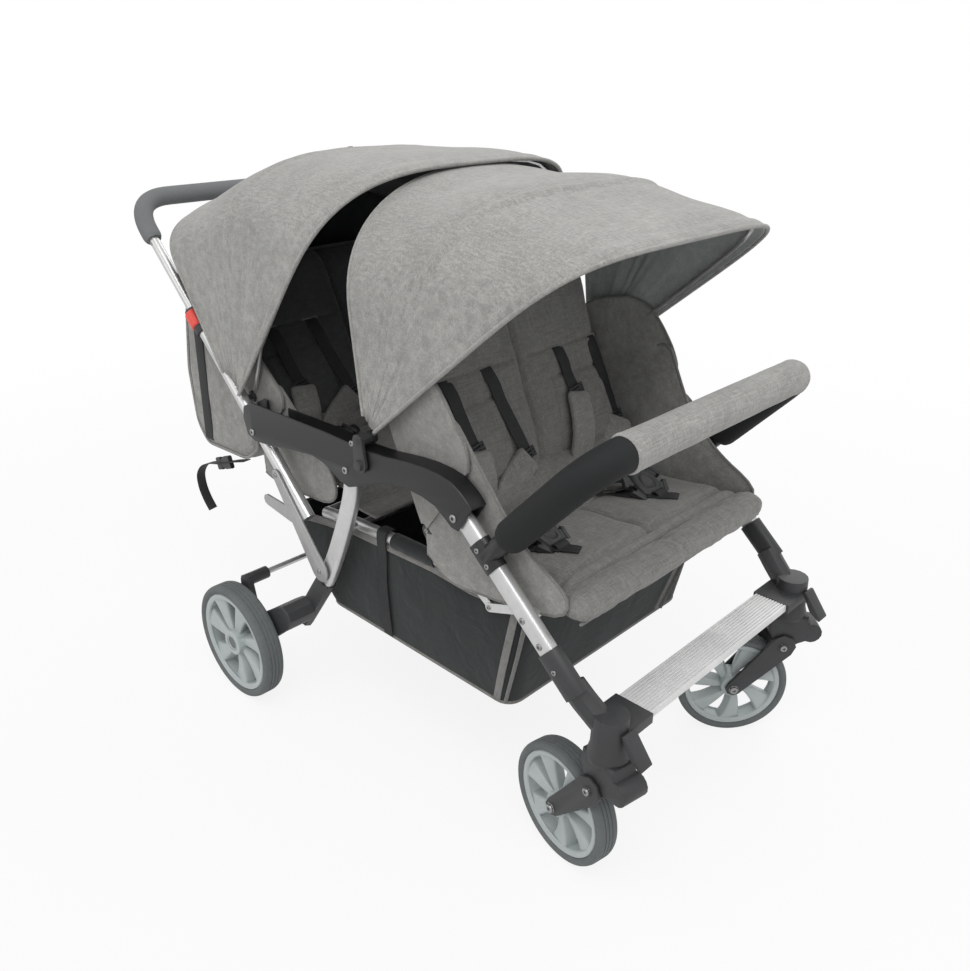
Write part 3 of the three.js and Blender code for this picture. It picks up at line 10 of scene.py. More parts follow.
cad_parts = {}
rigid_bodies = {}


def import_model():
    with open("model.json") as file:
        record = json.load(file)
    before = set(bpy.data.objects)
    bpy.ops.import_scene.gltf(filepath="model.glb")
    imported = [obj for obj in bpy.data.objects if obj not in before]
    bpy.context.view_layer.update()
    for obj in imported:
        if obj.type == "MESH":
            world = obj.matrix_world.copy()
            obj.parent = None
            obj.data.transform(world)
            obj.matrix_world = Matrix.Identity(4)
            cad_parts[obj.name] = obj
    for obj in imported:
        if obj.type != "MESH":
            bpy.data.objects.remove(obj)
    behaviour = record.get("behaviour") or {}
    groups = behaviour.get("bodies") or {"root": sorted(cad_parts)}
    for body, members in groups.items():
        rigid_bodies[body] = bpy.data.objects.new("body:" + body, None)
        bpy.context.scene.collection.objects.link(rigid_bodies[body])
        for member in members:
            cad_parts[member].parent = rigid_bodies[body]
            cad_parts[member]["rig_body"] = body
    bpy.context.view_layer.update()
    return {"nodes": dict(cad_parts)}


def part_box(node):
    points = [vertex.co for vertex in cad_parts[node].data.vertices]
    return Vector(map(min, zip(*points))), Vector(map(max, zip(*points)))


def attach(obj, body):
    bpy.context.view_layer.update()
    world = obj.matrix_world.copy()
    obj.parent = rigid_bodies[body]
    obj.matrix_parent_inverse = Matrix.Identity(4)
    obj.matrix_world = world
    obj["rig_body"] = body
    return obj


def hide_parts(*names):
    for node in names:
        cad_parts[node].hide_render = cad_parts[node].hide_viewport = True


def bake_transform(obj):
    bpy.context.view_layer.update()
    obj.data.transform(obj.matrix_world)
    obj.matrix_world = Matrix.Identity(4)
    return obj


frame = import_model()


# The studio: a pale floor that runs up into white, one broad soft lamp high on the
# left of the stroller, a weaker one on its right, and an even white surround.
# The camera stands off the right front corner, a little over a metre up.

SWIVEL_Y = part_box("footplate")[0].y + 0.0246  # the axis that the front casters swivel on


def place(x, y, z):
    """A place on the stroller in millimetres: across, back from the caster swivels, up."""
    return Vector((x / 1000, SWIVEL_Y + y / 1000, z / 1000))


def added(name, data):
    """A new object in the scene, holding a camera, a lamp or a mesh."""
    made = bpy.data.objects.new(name, data)
    scene.collection.objects.link(made)
    return made


scene = bpy.context.scene
camera_data = bpy.data.cameras.new("camera")
camera_data.lens = 34.13
camera_data.sensor_fit = "HORIZONTAL"
camera = added("camera", camera_data)
camera.location = place(-1144.8, -606.2, 1174.7)
camera.rotation_euler = (radians(65.169), 0, radians(-45.626))
scene.camera = camera
LAMP_TARGET = Vector((0, 0, 0.4))
for name, location, size, power in (
    ("high_lamp", (-1.4, -1.4, 3.6), 2.6, 62),
    ("side_lamp", (-3.4, 1.2, 1.9), 2.2, 11),
    ("far_lamp", (3.0, 0.6, 2.6), 2.4, 30),
):
    lamp_data = bpy.data.lights.new(name, "AREA")
    lamp_data.shape = "DISK"
    lamp_data.size = size
    lamp_data.energy = power
    lamp = added(name, lamp_data)
    lamp.location = location
    lamp.rotation_mode = "QUATERNION"
    lamp.rotation_quaternion = (LAMP_TARGET - lamp.location).to_track_quat("-Z", "Y")


def new_node(tree, kind, **values):
    """A shader node with some of its inputs set, a space in their names given as _."""
    node = tree.nodes.new("ShaderNode" + kind)
    for name, value in values.items():
        node.inputs[name.replace("_", " ")].default_value = value
    return node


def seen_directly(tree):
    """1 for a ray straight from the camera, off a mirror or through glass, else 0."""
    path = new_node(tree, "LightPath")
    share = path.outputs["Is Camera Ray"]
    for kind in ("Is Glossy Ray", "Is Transmission Ray"):
        larger = new_node(tree, "Math")
        larger.operation = "MAXIMUM"
        tree.links.new(share, larger.inputs[0])
        tree.links.new(path.outputs[kind], larger.inputs[1])
        share = larger.outputs[0]
    return share


def finished_mix(tree, share, first, second, output):
    """Mixes two shaders into the tree's output."""
    mix = new_node(tree, "MixShader")
    for at, end in enumerate((share, first.outputs[0], second.outputs[0])):
        tree.links.new(end, mix.inputs[at])
    tree.links.new(mix.outputs[0], new_node(tree, output).inputs[0])


surround = bpy.data.worlds.new("surround")
surround.use_nodes = True
scene.world = surround
sky = surround.node_tree
sky.nodes.clear()
lighting = new_node(sky, "Background", Strength=0.62, Color=(1, 1, 1, 1))
backdrop = new_node(sky, "Background", Strength=1.0, Color=(1, 1, 1, 1))
finished_mix(sky, seen_directly(sky), lighting, backdrop, "OutputWorld")

FLOOR_HALF = 14
floor_mesh = bpy.data.meshes.new("floor")
floor_corners = ((-1, -1), (1, -1), (1, 1), (-1, 1))
floor_mesh.from_pydata(
    [(x * FLOOR_HALF, y * FLOOR_HALF, 0) for x, y in floor_corners], [], [(0, 1, 2, 3)]
)
floor = added("floor", floor_mesh)
floor_paint = bpy.data.materials.new("floor_paint")
floor_paint.use_nodes = True
paint = floor_paint.node_tree
paint.nodes.clear()
matt_floor = new_node(paint, "BsdfDiffuse")
speck = new_node(paint, "TexNoise", Scale=3)
floor_tone = new_node(paint, "ValToRGB")
for element, level in zip(floor_tone.color_ramp.elements, (0.80, 0.84)):
    element.color = (level, level, level, 1)
paint.links.new(speck.outputs["Fac"], floor_tone.inputs["Fac"])
paint.links.new(floor_tone.outputs["Color"], matt_floor.inputs["Color"])
white_floor = new_node(paint, "Emission", Strength=1.0)
how_far = new_node(paint, "VectorMath")
how_far.operation = "LENGTH"
paint.links.new(new_node(paint, "TexCoord").outputs["Object"], how_far.inputs[0])
fading = new_node(paint, "MapRange", From_Min=0.8, From_Max=3.2, To_Min=0.86, To_Max=1.0)
fading.interpolation_type = "SMOOTHSTEP"
paint.links.new(how_far.outputs["Value"], fading.inputs["Value"])
share_white = new_node(paint, "Math")
share_white.operation = "MULTIPLY"
paint.links.new(seen_directly(paint), share_white.inputs[0])
paint.links.new(fading.outputs["Result"], share_white.inputs[1])
finished_mix(paint, share_white.outputs[0], matt_floor, white_floor, "OutputMaterial")
floor_mesh.materials.append(floor_paint)

scene.view_settings.view_transform = "Standard"


# Front and rear legs: flat sided aluminium tube, clear anodised, drilled for the pivots.
# Each is a tube of rounded rectangular section with a boss that turns in the armrest
# casing, and rivets with domed heads that hold the braces.

STROLLER = Matrix.Translation((0, SWIVEL_Y, 0)) @ Matrix.Scale(0.001, 4)
SIDES = (("left", 1), ("right", -1))
SIDE_X = 285  # middle plane to the centre of each side frame
FRONT_PIN = (285, 553)  # back from the swivels, and up
REAR_PIN = (546, 551)
HANDLE_PIN = (828, 542)


class Workpiece:
    """The surfaces of one piece, gathered in millimetres before they become a mesh."""

    def __init__(self, at=STROLLER):
        self.at = at
        self.spots = []
        self.faces = []

    def loft(self, loops, caps=True, closed=False):
        """Skins a row of loops that all have the same number of points."""
        first = len(self.spots)
        around = len(loops[0])
        rows = len(loops)
        for loop in loops:
            self.spots += [tuple(spot) for spot in loop]
        for row in range(rows if closed else rows - 1):
            here = first + row * around
            there = first + (row + 1) % rows * around
            for spot in range(around):
                after = (spot + 1) % around
                self.faces.append((here + spot, here + after, there + after, there + spot))
        if caps and not closed:
            self.faces.append(tuple(range(first + around - 1, first - 1, -1)))
            last = first + (rows - 1) * around
            self.faces.append(tuple(range(last, last + around)))

    def lattice(self, rows):
        """Skins an open sheet given as rows of points."""
        first = len(self.spots)
        across = len(rows[0])
        for row in rows:
            self.spots += [tuple(spot) for spot in row]
        for row in range(len(rows) - 1):
            for spot in range(across - 1):
                corner = first + row * across + spot
                self.faces.append((corner, corner + 1, corner + across + 1, corner + across))

    def shell(self, front, back):
        """Skins two sheets of one layout and closes them round their border."""
        self.lattice(front)
        self.lattice(back)
        across, last = len(front[0]), len(front) - 1
        border = list(range(across))
        border += [row * across + across - 1 for row in range(1, last + 1)]
        border += [last * across + column for column in range(across - 2, -1, -1)]
        border += [row * across for row in range(last - 1, 0, -1)]
        total = across * (last + 1)
        for a, b in zip(border, border[1:] + border[:1]):
            self.faces.append((a, b, total + b, total + a))

    def piece(self, name, material, slot, body=None, crease=38, thick=0.0, side=-1.0):
        """Makes the mesh, thickens a sheet, and lets the piece ride on its body."""
        mesh = bpy.data.meshes.new(name)
        mesh.from_pydata([self.at @ Vector(spot) for spot in self.spots], [], self.faces)
        mesh.materials.append(material)
        made = added(name, mesh)
        cleaned(mesh, crease)
        if thick:
            depth = made.modifiers.new("thick", "SOLIDIFY")
            depth.thickness = thick / 1000
            depth.offset = side
            settled(made)
        if body:
            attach(made, body)
        return made


def smoothed(mesh, crease):
    mesh.polygons.foreach_set("use_smooth", [True] * len(mesh.polygons))
    mesh.set_sharp_from_angle(angle=radians(crease))


def cleaned(mesh, crease):
    """Turns every face outward and shades the mesh smooth up to an angle."""
    shell = bmesh.new()
    shell.from_mesh(mesh)
    bmesh.ops.recalc_face_normals(shell, faces=shell.faces)
    shell.to_mesh(mesh)
    shell.free()
    smoothed(mesh, crease)


def settled(made):
    """Applies the piece's modifiers to its mesh."""
    bpy.context.view_layer.update()
    graph = bpy.context.evaluated_depsgraph_get()
    mesh = bpy.data.meshes.new_from_object(made.evaluated_get(graph))
    made.modifiers.clear()
    made.data = mesh


def swept(path, section, side=(1, 0, 0), sizes=None):
    """Loops of a section carried along a path, its first axis kept near one direction."""
    path = [Vector(spot) for spot in path]
    across = Vector(side)
    loops = []
    for at, spot in enumerate(path):
        way = (path[min(at + 1, len(path) - 1)] - path[max(at - 1, 0)]).normalized()
        across = (across - way * across.dot(way)).normalized()
        up = way.cross(across)
        size = sizes[at] if sizes else 1
        loops.append([spot + (across * a + up * b) * size for a, b in section])
    return loops


def uneven(x, y, z):
    """Smooth noise between -1 and 1, the same on every run."""
    return noise.noise(Vector((x, y, z)))


def spin(angle, axis):
    return Matrix.Rotation(radians(angle), 4, axis)


def circle(radius, sides=24):
    turns = [2 * pi * step / sides for step in range(sides)]
    return [(radius * cos(turn), radius * sin(turn)) for turn in turns]


def rounded_box(width, depth, radius, steps=5):
    """The section of a flat sided tube or strap."""
    spots = []
    for quarter in range(4):
        turn = quarter * pi / 2
        out_a = (width / 2 - radius) * (1 if quarter in (0, 3) else -1)
        out_b = (depth / 2 - radius) * (1 if quarter in (0, 1) else -1)
        for step in range(steps + 1):
            angle = turn + pi / 2 * step / steps
            spots.append((out_a + radius * cos(angle), out_b + radius * sin(angle)))
    return spots


def rounded(points, reach, steps=8):
    """A path with its inner corners rounded over a distance from each corner."""
    corners = [Vector(point) for point in points]
    path = [corners[0]]
    for before, corner, after in zip(corners, corners[1:], corners[2:]):
        start = corner + (before - corner).normalized() * reach
        end = corner + (after - corner).normalized() * reach
        for step in range(steps + 1):
            t = step / steps
            path.append(start * (1 - t) ** 2 + corner * 2 * t * (1 - t) + end * t * t)
    path.append(corners[-1])
    return path


def flowing(points, steps=6):
    """A smooth path through points."""
    knots = [Vector(point) for point in points]
    knots = [knots[0] * 2 - knots[1], *knots, knots[-1] * 2 - knots[-2]]
    path = []
    for a, b, c, d in zip(knots, knots[1:], knots[2:], knots[3:]):
        for step in range(steps):
            t = step / steps
            path.append(
                0.5 * (2 * b + (c - a) * t + (2 * a - 5 * b + 4 * c - d) * t * t
                       + (3 * b - a - 3 * c + d) * t ** 3)
            )
    return [*path, knots[-2]]


def towards(start, end, distance):
    """A place in the side plane, at a distance from one place towards another."""
    share = distance / dist(start, end)
    return (start[0] + (end[0] - start[0]) * share, start[1] + (end[1] - start[1]) * share)


def rod(radius, x_from, x_to, spot, round_off=1.0, sides=28):
    """Loops of a pin along X with its edges broken."""
    steps = [
        (x_from, radius - round_off), (x_from + round_off, radius),
        (x_to - round_off, radius), (x_to, radius - round_off),
    ]
    return [[(x, spot[0] + a, spot[1] + b) for a, b in circle(r, sides)] for x, r in steps]


def screw_head(work, spot, outwards, radius=5.4, proud=2.2):
    """A domed socket screw whose head faces along X."""
    x, y, z = spot
    socket = radius * 0.42
    steps = [
        (0, 1, 0), (0.55, 1, 0), (0.85, 0.93, 0), (1, 0.78, 0), (1, 0.5, 0), (0.96, 0, 1),
        (0.25, 0, 1),
    ]
    loops = []
    for up, share, six_sided in steps:
        loop = []
        for step in range(24):
            turn = 2 * pi * step / 24
            flat = socket / cos(turn % (pi / 3) - pi / 6)
            reach = flat if six_sided else radius * share
            loop.append((x + outwards * proud * up, y + reach * cos(turn), z + reach * sin(turn)))
        loops.append(loop)
    work.loft(loops)


def screws(name, body, spots, out, radius=5.4, proud=2.2, signs=(1, -1)):
    """Screw or rivet heads on one side or both, at places in the side plane, as one piece."""
    work = Workpiece()
    for sign in signs:
        for spot in spots:
            screw_head(work, (sign * out, *spot), sign, radius, proud)
    work.piece(name, bolt_steel, "steel", body)


class Finish:
    """A material as it is built up: texture nodes that feed one principled shader."""

    def __init__(self, name, roughness, metallic=0.0):
        self.material = bpy.data.materials.new(name)
        self.material.use_nodes = True
        self.tree = self.material.node_tree
        self.links = self.tree.links
        self.shader = self.tree.nodes["Principled BSDF"]
        self.set("Roughness", roughness)
        self.set("Metallic", metallic)
        self.coordinates = new_node(self.tree, "TexCoord").outputs["Object"]

    def set(self, socket, value):
        self.shader.inputs[socket].default_value = value

    def grain(self, per_metre, detail=2.0, rough=0.5, stretch=(1, 1, 1), warp=0.0):
        """Noise with features 1 / per_metre across, drawn out along an axis by its stretch."""
        scale = new_node(self.tree, "Mapping", Scale=[per_metre / s for s in stretch])
        self.links.new(self.coordinates, scale.inputs["Vector"])
        texture = new_node(
            self.tree, "TexNoise", Scale=1.0, Detail=detail, Roughness=rough, Distortion=warp
        )
        self.links.new(scale.outputs["Vector"], texture.inputs["Vector"])
        return texture.outputs["Fac"]

    def sum(self, *parts):
        """Adds up (texture, weight) pairs."""
        total = None
        for texture, weight in parts:
            term = new_node(self.tree, "Math")
            term.operation = "MULTIPLY_ADD"
            self.links.new(texture, term.inputs[0])
            term.inputs[1].default_value = weight
            if total is None:
                term.inputs[2].default_value = 0.0
            else:
                self.links.new(total, term.inputs[2])
            total = term.outputs[0]
        return total

    def tone(self, fac, stops):
        """Colours the texture: stops are (place, (r, g, b)) from dark to light."""
        ramp = new_node(self.tree, "ValToRGB")
        elements = ramp.color_ramp.elements
        while len(elements) < len(stops):
            elements.new(0.5)
        for element, (at, colour) in zip(elements, stops):
            element.position = at
            element.color = (*colour, 1)
        self.links.new(fac, ramp.inputs["Fac"])
        self.links.new(ramp.outputs["Color"], self.shader.inputs["Base Color"])

    def vary(self, fac, low, high):
        """Lets a texture move the roughness between two limits."""
        spread = new_node(self.tree, "MapRange", To_Min=low, To_Max=high)
        self.links.new(fac, spread.inputs["Value"])
        self.links.new(spread.outputs["Result"], self.shader.inputs["Roughness"])

    def emboss(self, fac, depth):
        """Raises the texture by a depth in metres."""
        bump = new_node(self.tree, "Bump", Distance=depth, Strength=1.0)
        self.links.new(fac, bump.inputs["Height"])
        if self.shader.inputs["Normal"].is_linked:
            before = self.shader.inputs["Normal"].links[0].from_socket
            self.links.new(before, bump.inputs["Normal"])
        self.links.new(bump.outputs["Normal"], self.shader.inputs["Normal"])


def grey(level, tint=(0, 0, 0)):
    """A linear colour from an sRGB grey of 0 to 255, with a small tint added."""
    out = []
    for shift in tint:
        share = (level + shift) / 255
        out.append(share / 12.92 if share <= 0.04045 else ((share + 0.055) / 1.055) ** 2.4)
    return tuple(out)


def anodised(name, level, roughness, metallic=0.75):
    finish = Finish(name, roughness, metallic)
    brushed = finish.grain(900, 3, 0.6, stretch=(1, 12, 12))
    cloudy = finish.grain(14, 3)
    scuffs = finish.grain(120, 6, 0.75, warp=1.5)
    fac = finish.sum((brushed, 0.3), (cloudy, 0.45), (scuffs, 0.25))
    finish.tone(fac, [(0.3, grey(level - 16, (0, 1, 0))), (0.7, grey(level + 10, (1, 1, 0)))])
    finish.vary(fac, roughness - 0.07, roughness + 0.1)
    finish.emboss(brushed, 0.00004)
    return finish.material


leg_aluminium = anodised("leg_aluminium", 204, 0.36)
tube_aluminium = anodised("tube_aluminium", 198, 0.30)
link_aluminium = anodised("link_aluminium", 170, 0.5)
bolt_steel = anodised("bolt_steel", 150, 0.28)

LEG_SECTION = rounded_box(20, 32, 7)
FRONT_LEG_TOP = (292, 563)
FRONT_LEG_END = (62, 356)
BRACE_ON_LEG = (150, 430)
REAR_LEG = [
    (546, 559), (553.9, 498.9), (583.4, 422.7), (616.9, 350.5),
    (652.4, 286.3), (691.8, 230.2), (735.1, 170.1),
]
for side, sign in SIDES:
    x = sign * SIDE_X
    leg = Workpiece()
    leg.loft(swept([(x, *FRONT_LEG_TOP), (x, *FRONT_LEG_END)], LEG_SECTION))
    leg.loft(rod(11, x - 12.6, x + 12.6, FRONT_PIN))
    made = leg.piece(f"front_leg_tube_{side}", leg_aluminium, "aluminium", "front_frame")
    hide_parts(f"front_leg_{side}")
    spots = (BRACE_ON_LEG, towards(BRACE_ON_LEG, FRONT_LEG_END, 44.8))
    screws(f"front_leg_rivets_{side}", "front_frame", spots, SIDE_X + 9.6, signs=[sign])
    leg = Workpiece()
    path = [(x, *spot) for spot in flowing(REAR_LEG, 5)]
    leg.loft(swept(path, rounded_box(20, 34, 7)))
    leg.loft(rod(11, x - 12.6, x + 12.6, REAR_PIN))
    made = leg.piece(f"rear_leg_tube_{side}", leg_aluminium, "aluminium", "rear_frame")
    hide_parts(f"rear_leg_{side}")
    spots = ((671, 262), (664, 276))
    screws(f"rear_leg_rivets_{side}", "rear_frame", spots, SIDE_X + 9.6, 3.6, 1.6, [sign])


# Armrests: a black glass filled nylon moulding on each side that is open underneath and
# holds the three pivots of the folding frame. The mouldings keep the frame's own shapes,
# with their moulded edges broken, and a socket head screw stands in each pivot.


SHARP = radians(34)  # edges between faces that turn by more than this are rounded over


def eased(names, material, edge):
    """Copies CAD nodes with their sharp edges rounded over, in millimetres."""
    for name in names:
        node = frame["nodes"][name]
        shell = bmesh.new()
        shell.from_mesh(node.data)
        bmesh.ops.remove_doubles(shell, verts=shell.verts, dist=2e-5)
        bmesh.ops.dissolve_limit(
            shell, angle_limit=radians(1.5), verts=shell.verts, edges=shell.edges
        )
        sharp = [e for e in shell.edges if e.is_manifold and e.calc_face_angle(0) > SHARP]
        bmesh.ops.bevel(
            shell, geom=sharp, offset=edge / 1000, offset_type="OFFSET", segments=2,
            profile=0.6, affect="EDGES", clamp_overlap=True,
        )
        bmesh.ops.recalc_face_normals(shell, faces=shell.faces)
        mesh = bpy.data.meshes.new(f"{name}_finished")
        shell.to_mesh(mesh)
        shell.free()
        mesh.materials.append(material)
        copy = added(f"{name}_finished", mesh)
        smoothed(mesh, 42)
        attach(copy, node["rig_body"])
        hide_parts(name)


def pair(name):
    return [f"{name}_{side}" for side, sign in SIDES]


def moulded(name, level, roughness=0.5, tint=(0, 1, 2), spread=8):
    """Glass filled nylon: spark eroded grain, with the sheen and dust of a used part."""
    finish = Finish(name, roughness)
    leather = finish.grain(1400, 2, 0.6)
    flow = finish.grain(18, 4, 0.6, warp=0.6)
    dust = finish.grain(260, 6, 0.8)
    fac = finish.sum((leather, 0.2), (flow, 0.5), (dust, 0.3))
    finish.tone(fac, [(0.3, grey(level - spread, tint)), (0.7, grey(level + spread, tint))])
    finish.vary(fac, roughness - 0.08, roughness + 0.12)
    finish.emboss(leather, 0.00008)
    return finish.material


casing_nylon = moulded("casing_nylon", 15, roughness=0.38, spread=5)
black_nylon = moulded("black_nylon", 50)
eased(pair("armrest_casing"), casing_nylon, 2.2)
for side, sign in SIDES:
    pins = (FRONT_PIN, REAR_PIN, HANDLE_PIN)
    screws(f"armrest_screws_{side}", "armrests", pins, SIDE_X + 17, 6.6, 2.4, [sign])


# Bumper bar: a bent steel tube in a socket on each front leg, in a thick black foam pad.
# A grey cloth cover is zipped round the foam, a little off centre, so that more of the
# foam shows on the right arm.

eased(pair("bumper_socket"), casing_nylon, 1.6)
eased(["bumper_bar"], tube_aluminium, 0.4)
SOCKET = (228, 505.5)
BAR_CORNER = (42, 704)
PAD_RADIUS = 27


def across_path(start, corner, corner_x, reach):
    """A bar's path, up one side, across and down the other, from right to left."""
    points = [(-SIDE_X, *start), (-corner_x, *corner), (corner_x, *corner), (SIDE_X, *start)]
    return rounded(points, reach, 12)


def between(path, share_from, share_to, steps):
    """Even stations on part of a path."""
    lengths = [0.0]
    for a, b in zip(path, path[1:]):
        lengths.append(lengths[-1] + (b - a).length)
    stations = []
    at = 0
    for step in range(steps + 1):
        want = lengths[-1] * (share_from + (share_to - share_from) * step / steps)
        while at < len(path) - 2 and lengths[at + 1] < want:
            at += 1
        share = (want - lengths[at]) / (lengths[at + 1] - lengths[at])
        stations.append(path[at].lerp(path[at + 1], share))
    return stations


def mottled_foam(name, level):
    """Closed cell foam with a skin: fine pores and a little dust."""
    finish = Finish(name, 0.82)
    pores = finish.grain(1100, 3, 0.7)
    dust = finish.grain(160, 6, 0.8)
    broad = finish.grain(9, 2)
    fac = finish.sum((pores, 0.35), (dust, 0.3), (broad, 0.35))
    finish.tone(fac, [(0.32, grey(level - 8, (0, 2, 3))), (0.68, grey(level + 10, (0, 2, 3)))])
    finish.vary(fac, 0.72, 0.92)
    finish.emboss(pores, 0.00025)
    return finish.material


def melange(name, level, tint=(1, 0, -3), contrast=26, wrinkle=0.0006):
    """Polyester cloth woven from mixed light and dark yarns, so that it looks heathered."""
    finish = Finish(name, 0.92)
    weft = finish.grain(520, 2, 0.6, stretch=(14, 1, 1))
    warp = finish.grain(520, 2, 0.6, stretch=(1, 9, 9))
    yarn = finish.grain(1400, 2, 0.6)
    slub = finish.grain(240, 3, 0.65)
    worn = finish.grain(9, 4, 0.6)
    crumple = finish.grain(30, 3, 0.5)
    fac = finish.sum((weft, 0.27), (warp, 0.25), (yarn, 0.16), (slub, 0.18), (worn, 0.14))
    shades = ((0.38, level - contrast), (0.5, level), (0.62, level + contrast))
    finish.tone(fac, [(at, grey(shade, tint)) for at, shade in shades])
    finish.vary(fac, 0.86, 0.99)
    finish.set("Sheen Weight", 0.25)
    finish.set("Sheen Roughness", 0.5)
    finish.emboss(yarn, 0.0002)
    finish.emboss(weft, 0.00015)
    finish.emboss(crumple, wrinkle)
    return finish.material


black_foam = mottled_foam("black_foam", 13)
grey_melange = melange("grey_melange", 140)
bumper_cloth = melange("bumper_cloth", 152)
pad_path = across_path(towards(SOCKET, BAR_CORNER, 60.3), BAR_CORNER, 283, 70)


def foam_tube(name, path, steps, radius, nip, side, material, body, node):
    """A foam sleeve along a tube, a little narrower at its two ends."""
    sizes = [1 - nip * max(0, 1 - min(at, steps - at) / 2) ** 2 for at in range(steps + 1)]
    work = Workpiece()
    work.loft(swept(between(path, 0, 1, steps), circle(radius, 36), side, sizes))
    made = work.piece(name, material, "foam", body)
    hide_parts(node)


foam_tube(
    "bumper_foam", pad_path, 150, PAD_RADIUS - 0.6, 0.1, (0, 1, 1), black_foam, "bumper",
    "bumper_pad",
)
work = Workpiece()
stations = between(pad_path, 0.262, 0.765, 180)
sizes = []
for at in range(181):
    from_end = min(at, 180 - at)
    seam = 0.035 * exp(-((from_end - 3) / 1.3) ** 2)
    roll = 0.06 * max(0, 1 - from_end / 1.6)
    sizes.append(1 + seam - roll)
loops = swept(stations, circle(PAD_RADIUS + 1.6, 48), (0, 1, 1), sizes)
for loop in loops:
    middle = sum(loop, Vector()) / len(loop)
    for spot in loop:
        out = spot - middle
        crease = uneven(spot.x * 0.02, spot.y * 0.05, spot.z * 0.05)
        stitched = exp(-((atan2(out.z, -out.y) + 1.9) / 0.05) ** 2)
        spot += out * (0.022 * crease - 0.04 * stitched)
work.loft(loops)
bumper_cover = work.piece("bumper_cover", bumper_cloth, "grey_cloth", "bumper", crease=60)
spots = [towards(SOCKET, FRONT_LEG_TOP, away) for away in (-14, 14)]
screws("bumper_socket_screws", "front_frame", spots, SIDE_X + 13.8, 4.4, 2.0)


# Footplate: an extruded aluminium tread with fine ribs, clipped between the two front
# brackets, which are black mouldings that also hold the leg ends and the caster swivels.

work = Workpiece()
FOOT_FRONT, FOOT_REAR, FOOT_TOP = -24.6, 35.3, 309.4
RIBS = 11
pitch = (FOOT_REAR - FOOT_FRONT) / RIBS
tread = [(FOOT_FRONT, FOOT_TOP - 11.5), (FOOT_FRONT + 1.5, FOOT_TOP - 13)]
tread += [(FOOT_REAR - 1.5, FOOT_TOP - 13), (FOOT_REAR, FOOT_TOP - 11.5)]
for rib in range(RIBS, 0, -1):
    start = FOOT_FRONT + rib * pitch
    for back, down in ((0.06, 1.9), (0.16, 0.4), (0.26, 0), (0.7, 0), (0.8, 0.4), (0.9, 1.9)):
        tread.append((start - pitch * back, FOOT_TOP - down))
work.loft([[(x, *spot) for spot in tread] for x in (-203, -202, 202, 203)])
tread_aluminium = anodised("tread_aluminium", 222, 0.55, 0.35)
tread_plate = work.piece("footplate_tread", tread_aluminium, "aluminium", "front_frame", crease=25)
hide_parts("footplate")
eased(pair("front_bracket"), black_nylon, 1.8)
eased(pair("caster_lock"), black_nylon, 1.0)
spots = [towards(FRONT_LEG_END, FRONT_LEG_TOP, 28)]
screws("front_bracket_screws", "front_frame", spots, SIDE_X + 13.8, 4.4, 2.0)


# Casters: a black nylon knuckle swivels under each front bracket, with a round nose that
# holds the spring. A forked arm turns on it and carries the wheel behind the swivel. The
# left caster was left standing askew, the right one almost straight.

CASTER_X = 268
FORK_PIVOT = (8, 198)
CASTER_AXLE = (88, 103)
eased(pair("caster_knuckle"), black_nylon, 1.6)
eased(pair("caster_fork"), black_nylon, 1.6)
FORK_FACE = 30.6
STEERED = {"left": 43.4, "right": -10}
swivels = {}
for side, sign in SIDES:
    swivel = STROLLER @ Matrix.Translation((sign * CASTER_X, 0, 0)) @ spin(STEERED[side], "Z")
    swivels[side] = swivel
    for name, spot, size in (
        ("caster_axle_bolts", CASTER_AXLE, 7.4), ("caster_pivot_bolts", FORK_PIVOT, 6.4),
    ):
        bolts = Workpiece(swivel)
        for face in (1, -1):
            screw_head(bolts, (face * FORK_FACE, *spot), face, size + 1.6, 1.8)
            screw_head(bolts, (face * (FORK_FACE + 1.8), *spot), face, size, 3.2)
        bolts.piece(f"{name}_{side}", bolt_steel, "steel", f"fork_{side}")
    spring = Workpiece(swivel)
    coil = [
        (5.2 * cos(turn), -8 + turn * 0.62, 222 + 5.2 * sin(turn) + turn * 0.12)
        for turn in (step * pi / 8 for step in range(60))
    ]
    spring.loft(swept(coil, circle(1.1, 8), (0, 1, 0)))
    spring.piece(f"caster_spring_{side}", bolt_steel, "steel", f"caster_{side}")


# Wheels: a solid polyurethane tyre with a rounded tread, moulded on a pale grey nylon rim
# with seven broad twisted blades. The front ones turn on an axle through the fork, the
# rear ones on a stub axle, behind a dark cap in the hub.

wheel_nylon = moulded("wheel_nylon", 184, 0.42, tint=(-7, 0, 0), spread=7)
hub_nylon = moulded("hub_nylon", 112, 0.5, tint=(-4, 0, 0), spread=6)


def tyre_rubber():
    """Matt rubber, scuffed pale on the tread and dusty on its walls."""
    finish = Finish("tyre_rubber", 0.78)
    pores = finish.grain(900, 3, 0.7)
    scuff = finish.grain(90, 6, 0.8, warp=1.2)
    dust = finish.grain(14, 4, 0.6)
    fac = finish.sum((pores, 0.22), (scuff, 0.4), (dust, 0.38))
    finish.tone(fac, [
        (0.32, grey(90, (-2, 2, 2))), (0.55, grey(106, (-2, 2, 2))), (0.72, grey(126, (-1, 2, 2))),
    ])
    finish.vary(fac, 0.66, 0.9)
    finish.emboss(pores, 0.00012)
    return finish.material


wheel_rubber = tyre_rubber()


def turned(work, profile, sides=96):
    """Turns a closed profile of (radius, x) about the X axis."""
    loops = []
    for step in range(sides):
        turn = 2 * pi * step / sides
        loops.append([(x, r * cos(turn), r * sin(turn)) for r, x in profile])
    work.loft(loops, closed=True)


